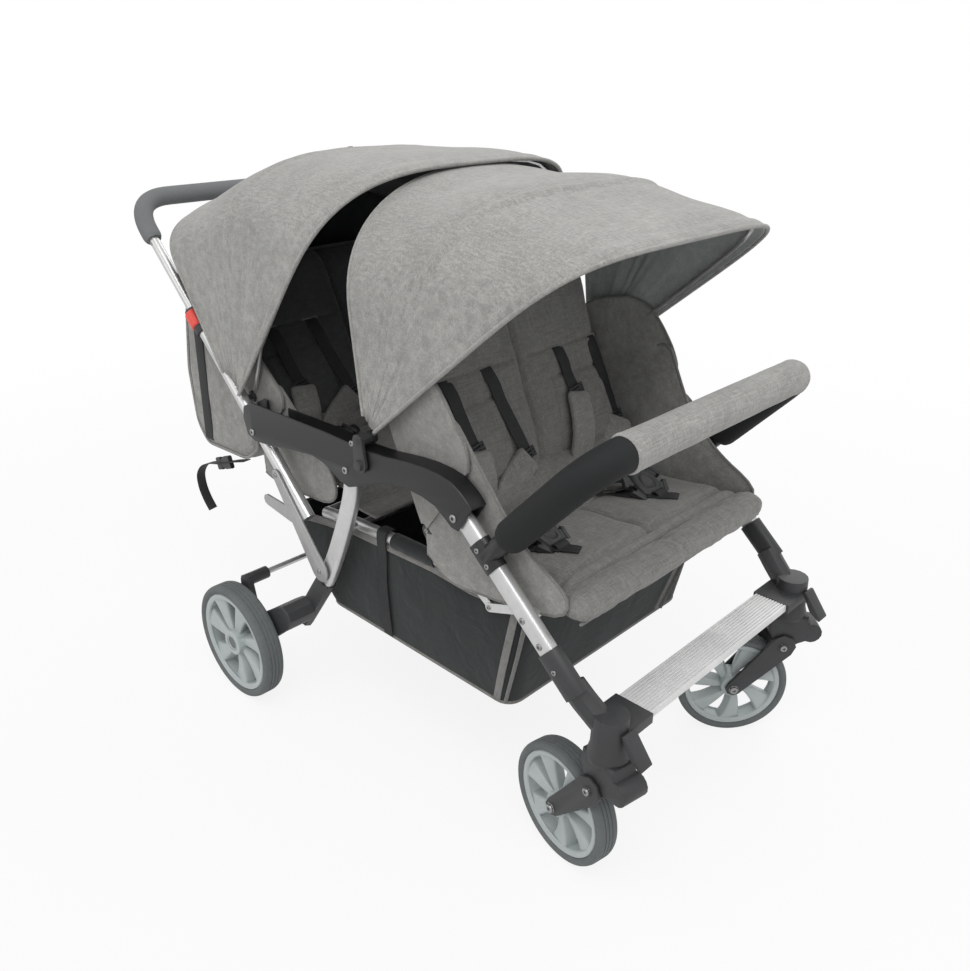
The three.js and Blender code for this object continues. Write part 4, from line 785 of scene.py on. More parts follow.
def wheel(row, side, at, radius, half, hub_half, hub_radius, bore):
    """A tyre and a rim about the X axis, with a cap in the hub of a rear one."""
    name = f"{row}_wheel_{side}"
    inner = radius * 0.865
    tread = [
        (inner, -half * 0.8), (inner * 1.02, -half * 0.9), (radius * 0.905, -half * 0.97),
        (radius * 0.93, -half), (radius * 0.955, -half * 0.985), (radius * 0.978, -half * 0.9),
        (radius * 0.99, -half * 0.77), (radius * 0.9985, -half * 0.6),
    ]
    for groove in (-0.34, 0, 0.34):
        for step, deep in ((-0.06, 0), (-0.035, 0.011), (0.035, 0.011), (0.06, 0)):
            tread.append((radius * (1 - deep), half * (groove + step)))
    tread += [(r, -x) for r, x in reversed(tread[:8])]
    tyre = Workpiece(at)
    turned(tyre, tread, 112)
    made = tyre.piece(f"{name}_tyre", wheel_rubber, "tyre", name, crease=30)
    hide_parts(f"{row}_tyre_{side}")
    seat = inner - 0.3
    lip = seat * 0.9
    rim = Workpiece(at)
    turned(rim, [
        (seat, -half * 0.78), (seat - 1.5, -half * 0.86), (lip + 3, -half * 0.84),
        (lip, -half * 0.78), (lip - 1.4, -half * 0.66), (lip + 1.5, -half * 0.5),
        (lip + 1.5, half * 0.5), (lip - 1.4, half * 0.66), (lip, half * 0.78),
        (lip + 3, half * 0.84), (seat - 1.5, half * 0.86), (seat, half * 0.78),
    ])
    turned(rim, [
        (bore, -hub_half), (hub_radius - 1.5, -hub_half), (hub_radius, -hub_half + 1.5),
        (hub_radius + 1.2, 0), (hub_radius, hub_half - 1.5), (hub_radius - 1.5, hub_half),
        (bore + 5, hub_half), (bore + 4, hub_half - 3), (bore, hub_half - 3),
    ], 64)
    for blade in range(7):
        base = 2 * pi * blade / 7
        loops = []
        for step in range(9):
            t = step / 8
            reach = hub_radius - 2 + (lip + 2.5 - hub_radius + 2) * t
            spread = (0.36 + 0.16 * t * t) * reach * (1 + 0.5 * (1 - t) ** 2)
            lean = base + 0.2 * t
            tilt = 0.26 - 0.12 * t
            depth = half * (0.62 + 0.1 * t)
            loop = []
            for a, b in rounded_box(depth * 2, spread, min(depth, spread / 2) * 0.42, 4):
                out_x = a * cos(tilt) - b * sin(tilt)
                aside = a * sin(tilt) + b * cos(tilt)
                y = reach * cos(lean) - aside * sin(lean)
                z = reach * sin(lean) + aside * cos(lean)
                loop.append((out_x * 0.9, y, z))
            loops.append(loop)
        rim.loft(loops)
    made = rim.piece(f"{name}_rim", wheel_nylon, "rim_plastic", name, crease=34)
    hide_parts(f"{row}_rim_{side}")
    if row == "rear":
        dish = Workpiece(at)
        turned(dish, [
            (0.5, half - 5.5), (bore + 6, half - 5.5), (bore + 8.5, half - 4),
            (bore + 9, half - 1.5),
            (bore + 7, half + 0.6), (bore + 4, half - 2.2), (0.5, half - 3.4),
        ], 48)
        dish.piece(f"{name}_cap", hub_nylon, "rim_plastic", name)


for side, sign in SIDES:
    mirrored = Matrix.Diagonal((sign, 1, 1, 1))
    wheel(
        "front", side, swivels[side] @ Matrix.Translation((0, *CASTER_AXLE)) @ mirrored,
        radius=103, half=20, hub_half=22.6, hub_radius=21, bore=5.8,
    )
    wheel(
        "rear", side, STROLLER @ Matrix.Translation((sign * 380, 827, 119)) @ mirrored,
        radius=119, half=22, hub_half=22, hub_radius=26, bore=8.6,
    )


# Rear brackets and brake: a black moulding on each rear leg carries the stub axle, and a
# steel rod between the two turns with the foot pedal in its middle.

eased(pair("rear_bracket"), black_nylon, 1.8)
eased(["brake_bar"], tube_aluminium, 0.8)
spots = ((716, 190), (729, 168))
screws("rear_bracket_screws", "rear_frame", spots, SIDE_X + 13.6, 4.2, 1.8)


# Handle: aluminium tubes that turn in the armrests, black collars with red release
# buttons, and a bent upper tube that slides in them under a long foam grip.

HANDLE_LOW = (691, 404)
HANDLE_TOP = (1005, 718)
HANDLE_CORNER = (1212, 925)
GRIP_START = (1142, 855)
SQUARE_SHARE = 0.7071  # the handle leans back at half a right angle
BUTTON_ARC = 62  # degrees round the tube, to each side of the button's middle
safety_red = moulded("safety_red", 214, 0.38, tint=(12, -138, -150), spread=8)
for side, sign in SIDES:
    x = sign * SIDE_X
    tube = Workpiece()
    tube.loft(swept([(x, *HANDLE_LOW), (x, *HANDLE_TOP)], circle(12.5, 32)))
    tube.loft(rod(11, x - 12.7, x + 12.7, HANDLE_PIN))
    made = tube.piece(f"handle_lower_tube_{side}", tube_aluminium, "aluminium", "handle")
    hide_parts(f"handle_tube_{side}")
    button = Workpiece()
    collar = [towards(HANDLE_TOP, HANDLE_CORNER, distance) for distance in (-11.5, -9, 19, 21.5)]
    loops = []
    for spot, puff in zip(collar, (0.2, 1, 1, 0.2)):
        swollen = [
            17.2 + 2.6 * puff * min(1, (1 - abs(step - 8.5) / 8.5) * 4) for step in range(18)
        ]
        loop = []
        for step, reach in [*enumerate(swollen), *((step, 16.2) for step in range(17, -1, -1))]:
            turn = radians(BUTTON_ARC * (2 * step / 17 - 1))
            out = reach * sin(turn) * SQUARE_SHARE
            loop.append((x + sign * reach * cos(turn), spot[0] - out, spot[1] + out))
        loops.append(loop)
    button.loft(loops)
    made = button.piece(f"handle_release_{side}", safety_red, "red_plastic", f"button_{side}")
    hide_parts(f"handle_button_{side}")
eased(pair("handle_collar"), black_nylon, 1.2)
upper_path = across_path(towards(HANDLE_TOP, HANDLE_LOW, 130), HANDLE_CORNER, 285, 78)
work = Workpiece()
work.loft(swept(upper_path, circle(10, 32), (0, 1, -1)))
made = work.piece("handle_upper_tube", tube_aluminium, "aluminium", "handle_top")
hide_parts("handle_upper")
grip_path = across_path(GRIP_START, HANDLE_CORNER, 285, 78)
grip_foam = mottled_foam("grip_foam", 112)
foam_tube(
    "handle_foam", grip_path, 160, 18, 0.16, (0, 1, -1), grip_foam, "handle_top", "handle_grip"
)
spots = [towards(GRIP_START, HANDLE_CORNER, -9)]
screws("handle_stops", "handle_top", spots, SIDE_X + 9.4, 3.4, 1.4)


# Fold links: a plain aluminium plate outside each handle tube, pinned to it and to the
# rear leg, with a lever arm that folds the frame.

eased(pair("link_plate"), link_aluminium, 0.7)
for side, sign in SIDES:
    pins = Workpiece()
    for spot, size in (((764, 474), 4.6), ((647, 316), 5.2)):
        screw_head(pins, (sign * 302.6, *spot), sign, size, 2.2)
    pins.piece(f"link_pins_{side}", bolt_steel, "steel", "links")


# Seat frame: round aluminium tubes welded into one frame under both rows, pinned to the
# rear legs. Folding braces of flat bar tie it to the front legs.

RAIL = [
    (692, 402), (600.2, 412.0), (389.9, 420.0), (299.8, 415.0),
    (214.9, 422.0), (160.2, 434.0), (122, 445),
]
SEAT_PIN = (590, 412.6)
RECLINE_TUBE = (368, 421)
RECLINE_PIN = (368, 446)
BEARER = [(590, 412.6), (606, 420), (631.9, 444), (852, 447)]
work = Workpiece()
for sign in (1, -1):
    rail = [(sign * 244, *spot) for spot in RAIL]
    work.loft(swept(rounded(rail, 18, 4), circle(11, 24)))
    bearer = [(sign * 200, *spot) for spot in BEARER]
    work.loft(swept(rounded(bearer, 10, 4), circle(8, 20)))
    lug = swept(
        [(sign * 214, *RECLINE_PIN), (sign * 225, *RECLINE_PIN)], rounded_box(26, 42, 9), (0, 1, 0)
    )
    work.loft([[spot + Vector((0, 0, -8)) for spot in loop] for loop in lug])
for spot in ((122, 445), (330, 423.3), RECLINE_TUBE, (692, 402)):
    work.loft(rod(9, -244, 244, spot, 0.5, 24))
work.loft(rod(8, -200, 200, (852, 447), 0.5, 20))
work.loft(rod(7, -274.7, 274.7, SEAT_PIN, 1, 20))
made = work.piece("seat_tubes", tube_aluminium, "aluminium", "seat_frame")
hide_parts("seat_frame")
eased(pair("brace_bar") + pair("brace_link"), leg_aluminium, 0.6)
for side, sign in SIDES:
    for end, spot, out, body in (
        ("elbow", (250, 394), 261.4, "brace_bars"), ("rail", (283, 416), 258.2, "brace_links"),
    ):
        screws(f"brace_{end}_rivet_{side}", body, [spot], out, 4.2, 2.0, [sign])


# Recline hinge: a shaft across the seat frame with a black knuckle at each end, in which
# the hoop of the front backrest turns.

eased(["recline_hinge"], black_nylon, 1.2)
eased(["front_back_frame"], tube_aluminium, 0.5)
FRONT_HINGE = (392, 478)
screws("recline_screws", "recline_hinge", (FRONT_HINGE, (369, 448)), 260.8, 4.2, 1.8)


# Basket: a deep bag of black cloth under the seat frame, with a bound rim of grey tape.
# Its side and front walls are bound separately, so two grey tapes run down each front
# corner. It hangs from the rails, on webbing loops, and its floor and walls sag a little.

RIM = [
    (183, 413), (214.8, 410.1), (300.3, 403.4), (389.7, 408.0), (599.7, 400.3), (691.7, 387.9),
    (831, 364.9),
]
BASKET_X = 254
BASKET_STATIONS = 200  # points round each level of the bag
FLOOR_Z = 204


def black_cloth():
    """Coated plain weave polyester."""
    finish = Finish("basket_cloth", 0.86)
    yarn = finish.grain(1300, 2, 0.6)
    weft = finish.grain(700, 2, 0.6, stretch=(10, 1, 1))
    dust = finish.grain(9, 4, 0.6)
    crumple = finish.grain(16, 3, 0.5, warp=1.0)
    fac = finish.sum((yarn, 0.3), (weft, 0.25), (dust, 0.45))
    finish.tone(fac, [(0.34, grey(19, (-3, 1, 2))), (0.66, grey(35, (-3, 1, 2)))])
    finish.set("Sheen Weight", 0.15)
    finish.emboss(yarn, 0.0002)
    finish.emboss(crumple, 0.003)
    return finish.material


def webbing():
    """Woven nylon tape with ribs across it."""
    finish = Finish("black_webbing", 0.72)
    ribs = finish.grain(700, 1, 0.4, stretch=(14, 1, 1))
    yarn = finish.grain(1800, 2, 0.6)
    worn = finish.grain(40, 4, 0.6)
    fac = finish.sum((ribs, 0.4), (yarn, 0.3), (worn, 0.3))
    finish.tone(fac, [(0.35, grey(23, (0, 1, 2))), (0.65, grey(42, (0, 1, 2)))])
    finish.emboss(ribs, 0.0003)
    finish.emboss(yarn, 0.0001)
    return finish.material


basket_cloth = black_cloth()
grey_tape = melange("grey_tape", 118, contrast=18, wrinkle=0.0002)
black_webbing = webbing()


def along_rim(y):
    for (y0, z0), (y1, z1) in zip(RIM, RIM[1:]):
        if y <= y1:
            break
    return z0 + (z1 - z0) * (y - y0) / (y1 - y0)


def basket_loop(depth, inwards=0.0):
    """One level of the bag, from its rim at 0 to its floor at 1."""
    front = 184.5 + 30 * depth + inwards
    rear = 829 - 128 * depth - inwards
    half = BASKET_X - 1.5 - 4 * depth - inwards
    corner = 16 + 16 * depth
    plan = []
    for x_sign, y_sign, turn in ((1, 1, 0), (-1, 1, 1), (-1, -1, 2), (1, -1, 3)):
        for step in range(6):
            angle = (turn + step / 5) * pi / 2
            y = (rear - corner if y_sign > 0 else front + corner) + corner * sin(angle)
            plan.append(Vector((x_sign * (half - corner) + corner * cos(angle), y, 0)))
    loop = between([*plan, plan[0]], 0, 1, BASKET_STATIONS)[:-1]
    for spot in loop:
        top = along_rim(spot.y) - 1
        spot.z = top + (FLOOR_Z + 3 - top) * depth
        bulge = sin(pi * min(1, depth)) * 4
        crease = uneven(spot.x * 0.011, spot.y * 0.011, spot.z * 0.004)
        out = Vector((spot.x / half, (2 * spot.y - front - rear) / (rear - front), 0))
        out = Vector((out.x ** 9, out.y ** 9, 0))
        spot += out * (bulge + 3.2 * crease * sin(pi * depth) - 3.5)
        spot.x = max(-BASKET_X, min(BASKET_X, spot.x))
    return loop


DEPTHS = (0, 0.02, 0.05, 0.1, 0.18, 0.28, 0.4, 0.52, 0.64, 0.76, 0.86, 0.93, 0.975, 1)
loops = [basket_loop(depth) for depth in DEPTHS]
bottom = loops[-1]
middle = sum(bottom, Vector()) / len(bottom)
for share in (0.975, 0.92, 0.82, 0.66, 0.46, 0.24, 0.08):
    level = FLOOR_Z + 4.5 - 4.0 * (1 - share ** 4)
    loops.append([Vector((*middle.lerp(spot, share).xy, level)) for spot in bottom])
work = Workpiece()
work.loft(loops, caps=False)
work.faces.append(tuple(range((len(loops) - 1) * len(bottom), len(loops) * len(bottom))))
basket_bag = work.piece(
    "basket_bag", basket_cloth, "black_cloth", "seat_frame", crease=50, thick=2.4, side=0
)
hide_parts("basket")


def bound(
    name, path, width, thick, material, body, slot="grey_cloth", side=(1, 0, 0), closed=False
):
    """A flat tape sewn along a path."""
    tape = Workpiece()
    section = rounded_box(width, thick, min(thick, width) * 0.45, 3)
    tape.loft(swept(path, section, side), caps=not closed, closed=closed)
    return tape.piece(name, material, slot, body, crease=40)


for name, loop, width, depth in (
    ("rim", [spot + Vector((0, 0, -3)) for spot in basket_loop(0.0, -0.4)], 5.2, 15),
    ("floor", basket_loop(0.985, -0.6), 3.2, 7),
):
    bound(
        f"basket_{name}_tape", loop, width, depth, grey_tape, "seat_frame", side=(1, 1, 0),
        closed=True,
    )
top = basket_loop(0.02)
STRAP_REACH = BASKET_X + 1.2
for side, sign in SIDES:
    for name, near, way in (
        ("front", (sign * 243, 184), (1, 0, 0)), ("side", (sign * 256, 206), (0, 1, 0)),
    ):
        column = min(range(len(top)), key=lambda at: dist(top[at].xy, near))
        path = [basket_loop(0.03 + 0.94 * step / 16, -0.9)[column] for step in range(17)]
        name = f"basket_{name}_tape_{side}"
        bound(name, path, 15, 2.2, grey_tape, "seat_frame", side=way)
    path = flowing([(sign * x, y, z) for x, y, z in (
        (234, 516, 428), (248, 516, 430.5), (256.4, 516, 424), (256.6, 517, 404),
        (STRAP_REACH, 517, 380), (STRAP_REACH + 1.5, 518, 330), (STRAP_REACH - 0.5, 517, 270),
        (STRAP_REACH - 4, 516, 214),
    )])
    bound(
        f"basket_strap_{side}", path, 24, 2.2, black_webbing, "seat_frame", "black_cloth",
        (0, 1, 0),
    )
    path = flowing([
        (sign * 244, y, z) for y, z in ((386, 419.8), (420, 418.8), (455, 417.6), (492, 416.2))
    ], 8)
    loops = swept(path, circle(14.2, 28))
    for loop in loops:
        for spot in loop:
            spot += Vector((0, 0, -1.2)) + Vector((1, 0, 1)) * 1.1 * uneven(*spot * 0.06)
    rail_sleeve = Workpiece()
    rail_sleeve.loft(loops)
    rail_sleeve.piece(f"basket_sleeve_{side}", basket_cloth, "black_cloth", "seat_frame")


# Seats and backrests: foam pads in grey heathered cloth, one for each row, sewn down its
# middle so that it seats two. Each pad is blown up from a flat blank, and its seams and
# quilted channels are then drawn in, with a piped edge round the front of the seat.


def from_seam(x, y, seam):
    """Distance of points from a stitched line."""
    nearest = np.full(len(x), 1e9)
    for (x0, y0), (x1, y1) in zip(seam, seam[1:]):
        length = (x1 - x0) ** 2 + (y1 - y0) ** 2
        t = np.clip(((x - x0) * (x1 - x0) + (y - y0) * (y1 - y0)) / length, 0, 1)
        nearest = np.minimum(nearest, np.hypot(x - x0 - t * (x1 - x0), y - y0 - t * (y1 - y0)))
    return nearest


def corners_of(mesh):
    """The places of a mesh's vertices, one to a row."""
    spots = np.empty(len(mesh.vertices) * 3)
    mesh.vertices.foreach_get("co", spots)
    return spots.reshape(-1, 3)


BLOWN_FOR = 20  # frames of the inflation


def puffed(made, cap):
    """Inflates a closed blank by cloth pressure, with no point moved further than a cap."""
    skin = made.modifiers.new("skin", "REMESH")
    skin.mode = "VOXEL"
    skin.voxel_size = 0.006
    settled(made)
    rest = corners_of(made.data)
    air = made.modifiers.new("air", "CLOTH")
    air.settings.use_pressure = True
    air.settings.uniform_pressure_force = 4
    air.settings.effector_weights.gravity = 0
    air.point_cache.frame_start = 1
    air.point_cache.frame_end = BLOWN_FOR
    for step in range(1, BLOWN_FOR + 1):
        scene.frame_set(step)
    graph = bpy.context.evaluated_depsgraph_get()
    moved = corners_of(made.evaluated_get(graph).data) - rest
    far = np.linalg.norm(moved, axis=1, keepdims=True)
    moved *= np.minimum(1, cap / 1000 / np.maximum(far, 1e-9))
    made.modifiers.clear()
    scene.frame_set(1)
    made.data.vertices.foreach_set("co", (rest + moved).ravel())
    made.data.update()


def pad(name, node, body, material, at, seams, half_x, half_y, thick, rim, cap, notch=0.0):
    """A stuffed pad in its own axes: across, along, and out of its underside.

    Its rim is thinner than its middle, the cap is how far the air may swell it, and the
    notch dips the middle of its upper edge.
    """
    columns, rows = 44, 26
    sheets = []
    for top in (True, False):
        sheet = []
        for row in range(rows + 1):
            along = 2 * row / rows - 1
            line = []
            for column in range(columns + 1):
                across = 2 * column / columns - 1
                plump = ((1 - abs(across) ** 7) * (1 - abs(along) ** 7)) ** 0.35
                x = (half_x - cap * 0.7) * across * (1 - 0.018 * (1 - along * along))
                y = (half_y - cap * 0.7) * along * (1 - 0.018 * (1 - across * across))
                y -= notch * max(0, along) ** 3 * (cos(2 * pi * across) + 1) / 2
                over, under = rim + (thick - cap - rim) * plump, cap * 0.6 + rim * (1 - plump) ** 4
                line.append((x, y, over if top else under))
            sheet.append(line)
        sheets.append(sheet)
    work = Workpiece(at)
    work.shell(*sheets)
    made = work.piece(name, material, "grey_cloth")
    puffed(made, cap)
    smooth = made.modifiers.new("smooth", "SUBSURF")
    smooth.levels = smooth.render_levels = 1
    settled(made)
    mesh = made.data
    back = np.array(at.inverted())
    x, y, z = (corners_of(mesh) @ back[:3, :3].T + back[:3, 3]).T
    front = np.clip((z - 0.3 * thick) / (0.35 * thick), 0, 1)
    z[z < 0] *= 0.2
    soft = np.array([uneven(a * 0.012, b * 0.016, 3.1) for a, b in zip(x, y)])
    fine = np.array([uneven(a * 0.045, b * 0.05, 7.7) for a, b in zip(x, y)])
    pull = np.zeros(len(x))
    for seam, depth, width in seams:
        gap = from_seam(x, y, seam) / width
        pull += depth * (np.exp(-(gap ** 2)) + 0.35 * np.exp(-((gap / 3.4) ** 2)))
        pull += np.exp(-((gap / 2.6) ** 2)) * 1.2 * fine
    z -= front * (pull - 3.4 * soft - 1.4 * fine)
    ahead = np.array(at)
    spots = np.column_stack([x, y, z]) @ ahead[:3, :3].T + ahead[:3, 3]
    mesh.vertices.foreach_set("co", spots.ravel())
    mesh.update()
    cleaned(mesh, 60)
    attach(made, body)
    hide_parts(node)
    return made


def tilted(y, z, degrees):
    return STROLLER @ Matrix.Translation((0, y, z)) @ spin(degrees, "X")


def on_hinge(hinge, degrees, along, below):
    """Axes of a leaning backrest, from its hinge up to its middle, and back to its underside."""
    up, over = sin(radians(degrees)), cos(radians(degrees))
    return tilted(
        hinge[0] + over * along - up * below, hinge[1] + up * along + over * below, degrees
    )


front_back_at = on_hinge(FRONT_HINGE, 68.4, 197, 6.2)
SLOT_LINE = 25  # along the pad, from its middle up to the harness slots


def back_seams(half_y):
    """A seam down the middle, a padded roll under the slots, and long channels below it."""
    seams = [([(0, -half_y), (0, half_y)], 7, 4.5)]
    for sign in (1, -1):
        seams.append(([(sign * 18, SLOT_LINE + 5), (sign * 236, SLOT_LINE + 5)], 3.4, 4))
        seams.append(([(sign * 62, SLOT_LINE - 46), (sign * 226, SLOT_LINE - 50)], 3.8, 4.4))
        for x in (70, 218):
            foot = x - 10 if x < 100 else x + 8
            seams.append(([(sign * x, SLOT_LINE - 46), (sign * foot, -half_y)], 3.2, 4))
        seams.append(([(sign * 230, SLOT_LINE + 5), (sign * 236, half_y)], 2.4, 4))
    return seams


seat_cloth = melange("seat_cloth", 125, contrast=24)
back_cloth = melange("back_cloth", 126, contrast=22)
front_back = pad(
    "front_back_pad", "front_back", "front_back", back_cloth, front_back_at, back_seams(188),
    half_x=250, half_y=188, thick=42, rim=12, cap=7, notch=16,
)
seat_seams = [
    ([(0, -84), (0, 118)], 6.5, 4.5),
    ([(-244, -86), (244, -86)], 7.0, 5),
]
for sign in (1, -1):
    seat_seams.append(([(sign * 228, -80), (sign * 224, 118)], 4, 4.5))
    seat_seams.append(([(sign * 18, 60), (sign * 224, 74)], 3, 5))
front_seat_at = tilted(221, 441.3, -6)
front_seat = pad(
    "front_seat_pad", "front_seat", "seat_frame", seat_cloth, front_seat_at, seat_seams,
    half_x=254, half_y=123, thick=34, rim=9, cap=6,
)
rear_seat_at = tilted(745, 453.1, 0.8)
rear_seat = pad(
    "rear_seat_pad", "rear_seat", "seat_frame", seat_cloth, rear_seat_at, seat_seams,
    half_x=248, half_y=117, thick=34, rim=9, cap=6,
)


# Front edge of the seat: the cloth is rolled round a foam strip over the frame's front
# tube, with a piped seam along its top and underneath.

EDGE_SPOT = (92, 454)
EDGE_ACROSS = (29, 22)
work = Workpiece()
loops = []
for step in range(121):
    across = 2 * step / 120 - 1
    full = (1 - abs(across) ** 26) ** 0.45
    x = 258 * across
    lift = 2.5 * across ** 4 + 1.6 * uneven(x * 0.008, 3.3, 0)
    middle = -2.4 * exp(-((x / 7) ** 2))
    loop = []
    for turn_step in range(44):
        turn = 2 * pi * turn_step / 44
        c, s = cos(turn), sin(turn)
        pucker = uneven(x * 0.035, 2 * c, 2 * s) + 0.5 * uneven(x * 0.09, 3 * c, 3 * s)
        top_seam, low_seam = (exp(-((turn - seam) / 0.12) ** 2) for seam in (1.05, 4.3))
        drawn_in = 3.4 * top_seam + 2.0 * low_seam
        swell = full * (1 + (1.5 * pucker * (1 + 1.6 * top_seam) - drawn_in + middle) / 24)
        loop.append((
            x,
            EDGE_SPOT[0] + EDGE_ACROSS[0] * swell * copysign(abs(c) ** 0.85, c),
            EDGE_SPOT[1] + lift + EDGE_ACROSS[1] * swell * copysign(abs(s) ** 0.85, s),
        ))
    loops.append(loop)
work.loft(loops)
seat_edge = work.piece("front_seat_edge", seat_cloth, "grey_cloth", "seat_frame", crease=60)
path = [
    (251 * (2 * step / 60 - 1), 76, 437 + 1.2 * uneven(step * 0.3, 1, 1)) for step in range(61)
]
bound("front_seat_piping", path, 5, 5, grey_tape, "seat_frame", side=(0, 1, 0))


# Between each seat and its backrest the cloth runs in a tuck, curved about the hinge that
# the backrest turns on, so that it stays closed as the backrest reclines.


def tuck(name, hinge, radius, angles, half, body):
    rows = []
    for step in range(25):
        angle = radians(angles[0] + (angles[1] - angles[0]) * step / 24)
        row = []
        for column in range(61):
            x = half * (2 * column / 60 - 1)
            reach = radius + 1.3 * uneven(x * 0.02, step * 0.12, 8)
            reach -= 3.0 * exp(-((x / 6) ** 2))
            row.append((x, hinge[0] + reach * cos(angle), hinge[1] + reach * sin(angle)))
        rows.append(row)
    work = Workpiece()
    work.lattice(rows)
    made = work.piece(name, back_cloth, "grey_cloth", body, crease=60, thick=5, side=0)


REAR_HINGE = (872, 482)
tuck("front_seat_tuck", FRONT_HINGE, 52, (84, 214), 248, "front_back")
tuck("rear_seat_tuck", REAR_HINGE, 42, (100, 196), 242, "rear_back")


# The rear backrest is a pad on the front of a deep bag of the same cloth, stiffened with
# board, that closes the back of the stroller and hangs between the handle tubes.

# The rear backrest pad's cloth is coloured far darker than the same cloth on the cover: painted
# shade for the dark under the rear hood.
painted_shade_cloth = melange("painted_shade_cloth", 70, tint=(-2, 1, 0), contrast=14)
rear_back_at = on_hinge(REAR_HINGE, 64.5, 192, 2)
rear_back = pad(
    "rear_back_pad", "rear_back", "rear_back", painted_shade_cloth, rear_back_at, back_seams(186),
    half_x=248, half_y=186, thick=42, rim=12, cap=7,
)
COVER = [(869, 482), (921, 442), (1077, 435), (1110, 475), (1120, 595), (1094, 730), (1031, 825)]
COVER_X = 267
COVER_EDGE = 22
corners = [Vector(spot) for spot in COVER]
first = (corners[-1] + corners[0]) / 2
ring = rounded([first, *corners, first], 17, 5)[:-1]
outline = between([*ring, ring[0]], 0, 1, 132)[:-1]
centre = sum(outline, Vector((0, 0))) / len(outline)
levels = [(COVER_X, 0.04 + 0.86 * step / 9) for step in range(10)]
for turn in (pi / 2 * step / 6 for step in range(7)):
    levels.append((COVER_X - COVER_EDGE * (1 - cos(turn)), -COVER_EDGE * (1 - sin(turn))))
levels += [((COVER_X - COVER_EDGE) * (1 - step / 24), 0) for step in range(1, 24)]
levels += [(0, 0)] + [(-x, share) for x, share in reversed(levels)]
loops = []
for x, share in levels:
    loop = []
    for spot in outline:
        inwards = centre - spot
        if share > 0:
            limit = spot + inwards * (COVER_EDGE / inwards.length)
            flat = centre.lerp(limit, share / 0.9)
        else:
            flat = spot + inwards.normalized() * -share
        fold = uneven(x * 0.008, flat.x * 0.02, flat.y * 0.006)
        ripple = uneven(x * 0.02, flat.x * 0.03, flat.y * 0.022)
        if share > 0:
            hollow = (1 - (share / 0.9) ** 4) * (2.0 + 2.4 * fold + 1.1 * ripple)
            loop.append((copysign(abs(x) - max(0, hollow), x), *flat))
        else:
            crown = 1 - (abs(x) / COVER_X) ** 4
            drawn_in = 2.2 + crown * (2.4 * fold + 1.2 * ripple) - 2.5 * crown
            loop.append((x, *(flat + inwards.normalized() * drawn_in)))
    loops.append(loop)
work = Workpiece()
work.loft(loops)
rear_cover = work.piece("rear_cover", grey_melange, "grey_cloth", "rear_back", crease=60)
seam_line = between([*outline, outline[0]], 0.17, 0.86, 90)
for side, sign in SIDES:
    edge = [(sign * (COVER_X - 5), *centre.lerp(spot, 0.967)) for spot in seam_line]
    bound(f"rear_cover_piping_{side}", edge, 6.4, 6.4, grey_melange, "rear_back")
    strip = [
        (sign * (COVER_X - 0.3), 1051 + 9 * share, 690 - 236 * share)
        for share in (step / 12 for step in range(13))
    ]
    bound(
        f"rear_cover_strip_{side}", strip, 2.4, 30, black_webbing, "rear_back", "black_cloth"
    )


# Wings: the seat cloth runs up on each side as a soft wall with a piped edge, sewn to the
# pads. One panel is fixed to the seat and one to the backrest, and they slide over each
# other when the backrest reclines.


def reaches(hinge, outline):
    """A smooth outline as (angle, reach) about the hinge, in order of angle."""
    found = []
    for spot in flowing(outline, 8):
        y, z = spot - Vector(hinge)
        found.append((degrees(atan2(z, y)) % 360, hypot(y, z)))
    return sorted(found)


def at_angle(table, angle):
    for (a0, r0), (a1, r1) in zip(table, table[1:]):
        if angle <= a1:
            break
    return r0 + (r1 - r0) * min(1, max(0, (angle - a0) / (a1 - a0)))


WING_SHARES = (0.05, 0.14, 0.25, 0.37, 0.49, 0.61, 0.72, 0.81, 0.88, 0.93, 0.955, 0.975, 1.0)


def wing(name, sign, hinge, table, angles, lap, outer, swell, body, flare):
    """A panel in the side plane, given by its reach at each angle about the recline hinge.

    The corner at its lap, the angle where it ends under or over its neighbour, is rounded.
    """
    count = round((angles[1] - angles[0]) / 2.5)
    outside, inside, edge = [], [], []
    for step in range(count + 1):
        angle = angles[0] + (angles[1] - angles[0]) * step / count
        reach = at_angle(table, angle) * (1 - 0.13 * max(0, 1 - abs(angle - lap) / 9) ** 2)
        way = Vector((cos(radians(angle)), sin(radians(angle))))
        outside.append([])
        inside.append([])
        for share in WING_SHARES:
            spot = Vector(hinge) + way * reach * share
            plump = swell * min(1, 7 * step / count, 7 * (count - step) / count)
            plump *= (1 - share ** 6) * min(1, share * 4)
            folds = uneven(spot.x * 0.012, spot.y * 0.012, 4.2 * sign)
            folds += 0.4 * uneven(spot.x * 0.04, spot.y * 0.035, 1.7)
            stitch = 1.5 * exp(-(((1 - share) * reach - 15) / 3) ** 2)
            lean = flare * share ** 2 * min(1, max(0, (spot.y - 600) / 90))
            lean *= min(1, max(0, 1 - (spot.x - hinge[0]) / 60))
            face = outer + lean
            outside[-1].append((sign * (face - 0.6 + min(0.6, 1.3 * folds) - stitch * 0.5), *spot))
            inside[-1].append((sign * (face - 3.2 - plump * (1 + 0.5 * folds) + stitch), *spot))
        edge.append((sign * (face - 2.2), *spot))
    work = Workpiece()
    work.shell(outside, inside)
    panel = work.piece(name, wing_cloth, "grey_cloth", body, crease=60)
    bound(f"{name}_piping", edge, 5.2, 5.2, wing_piping, body)


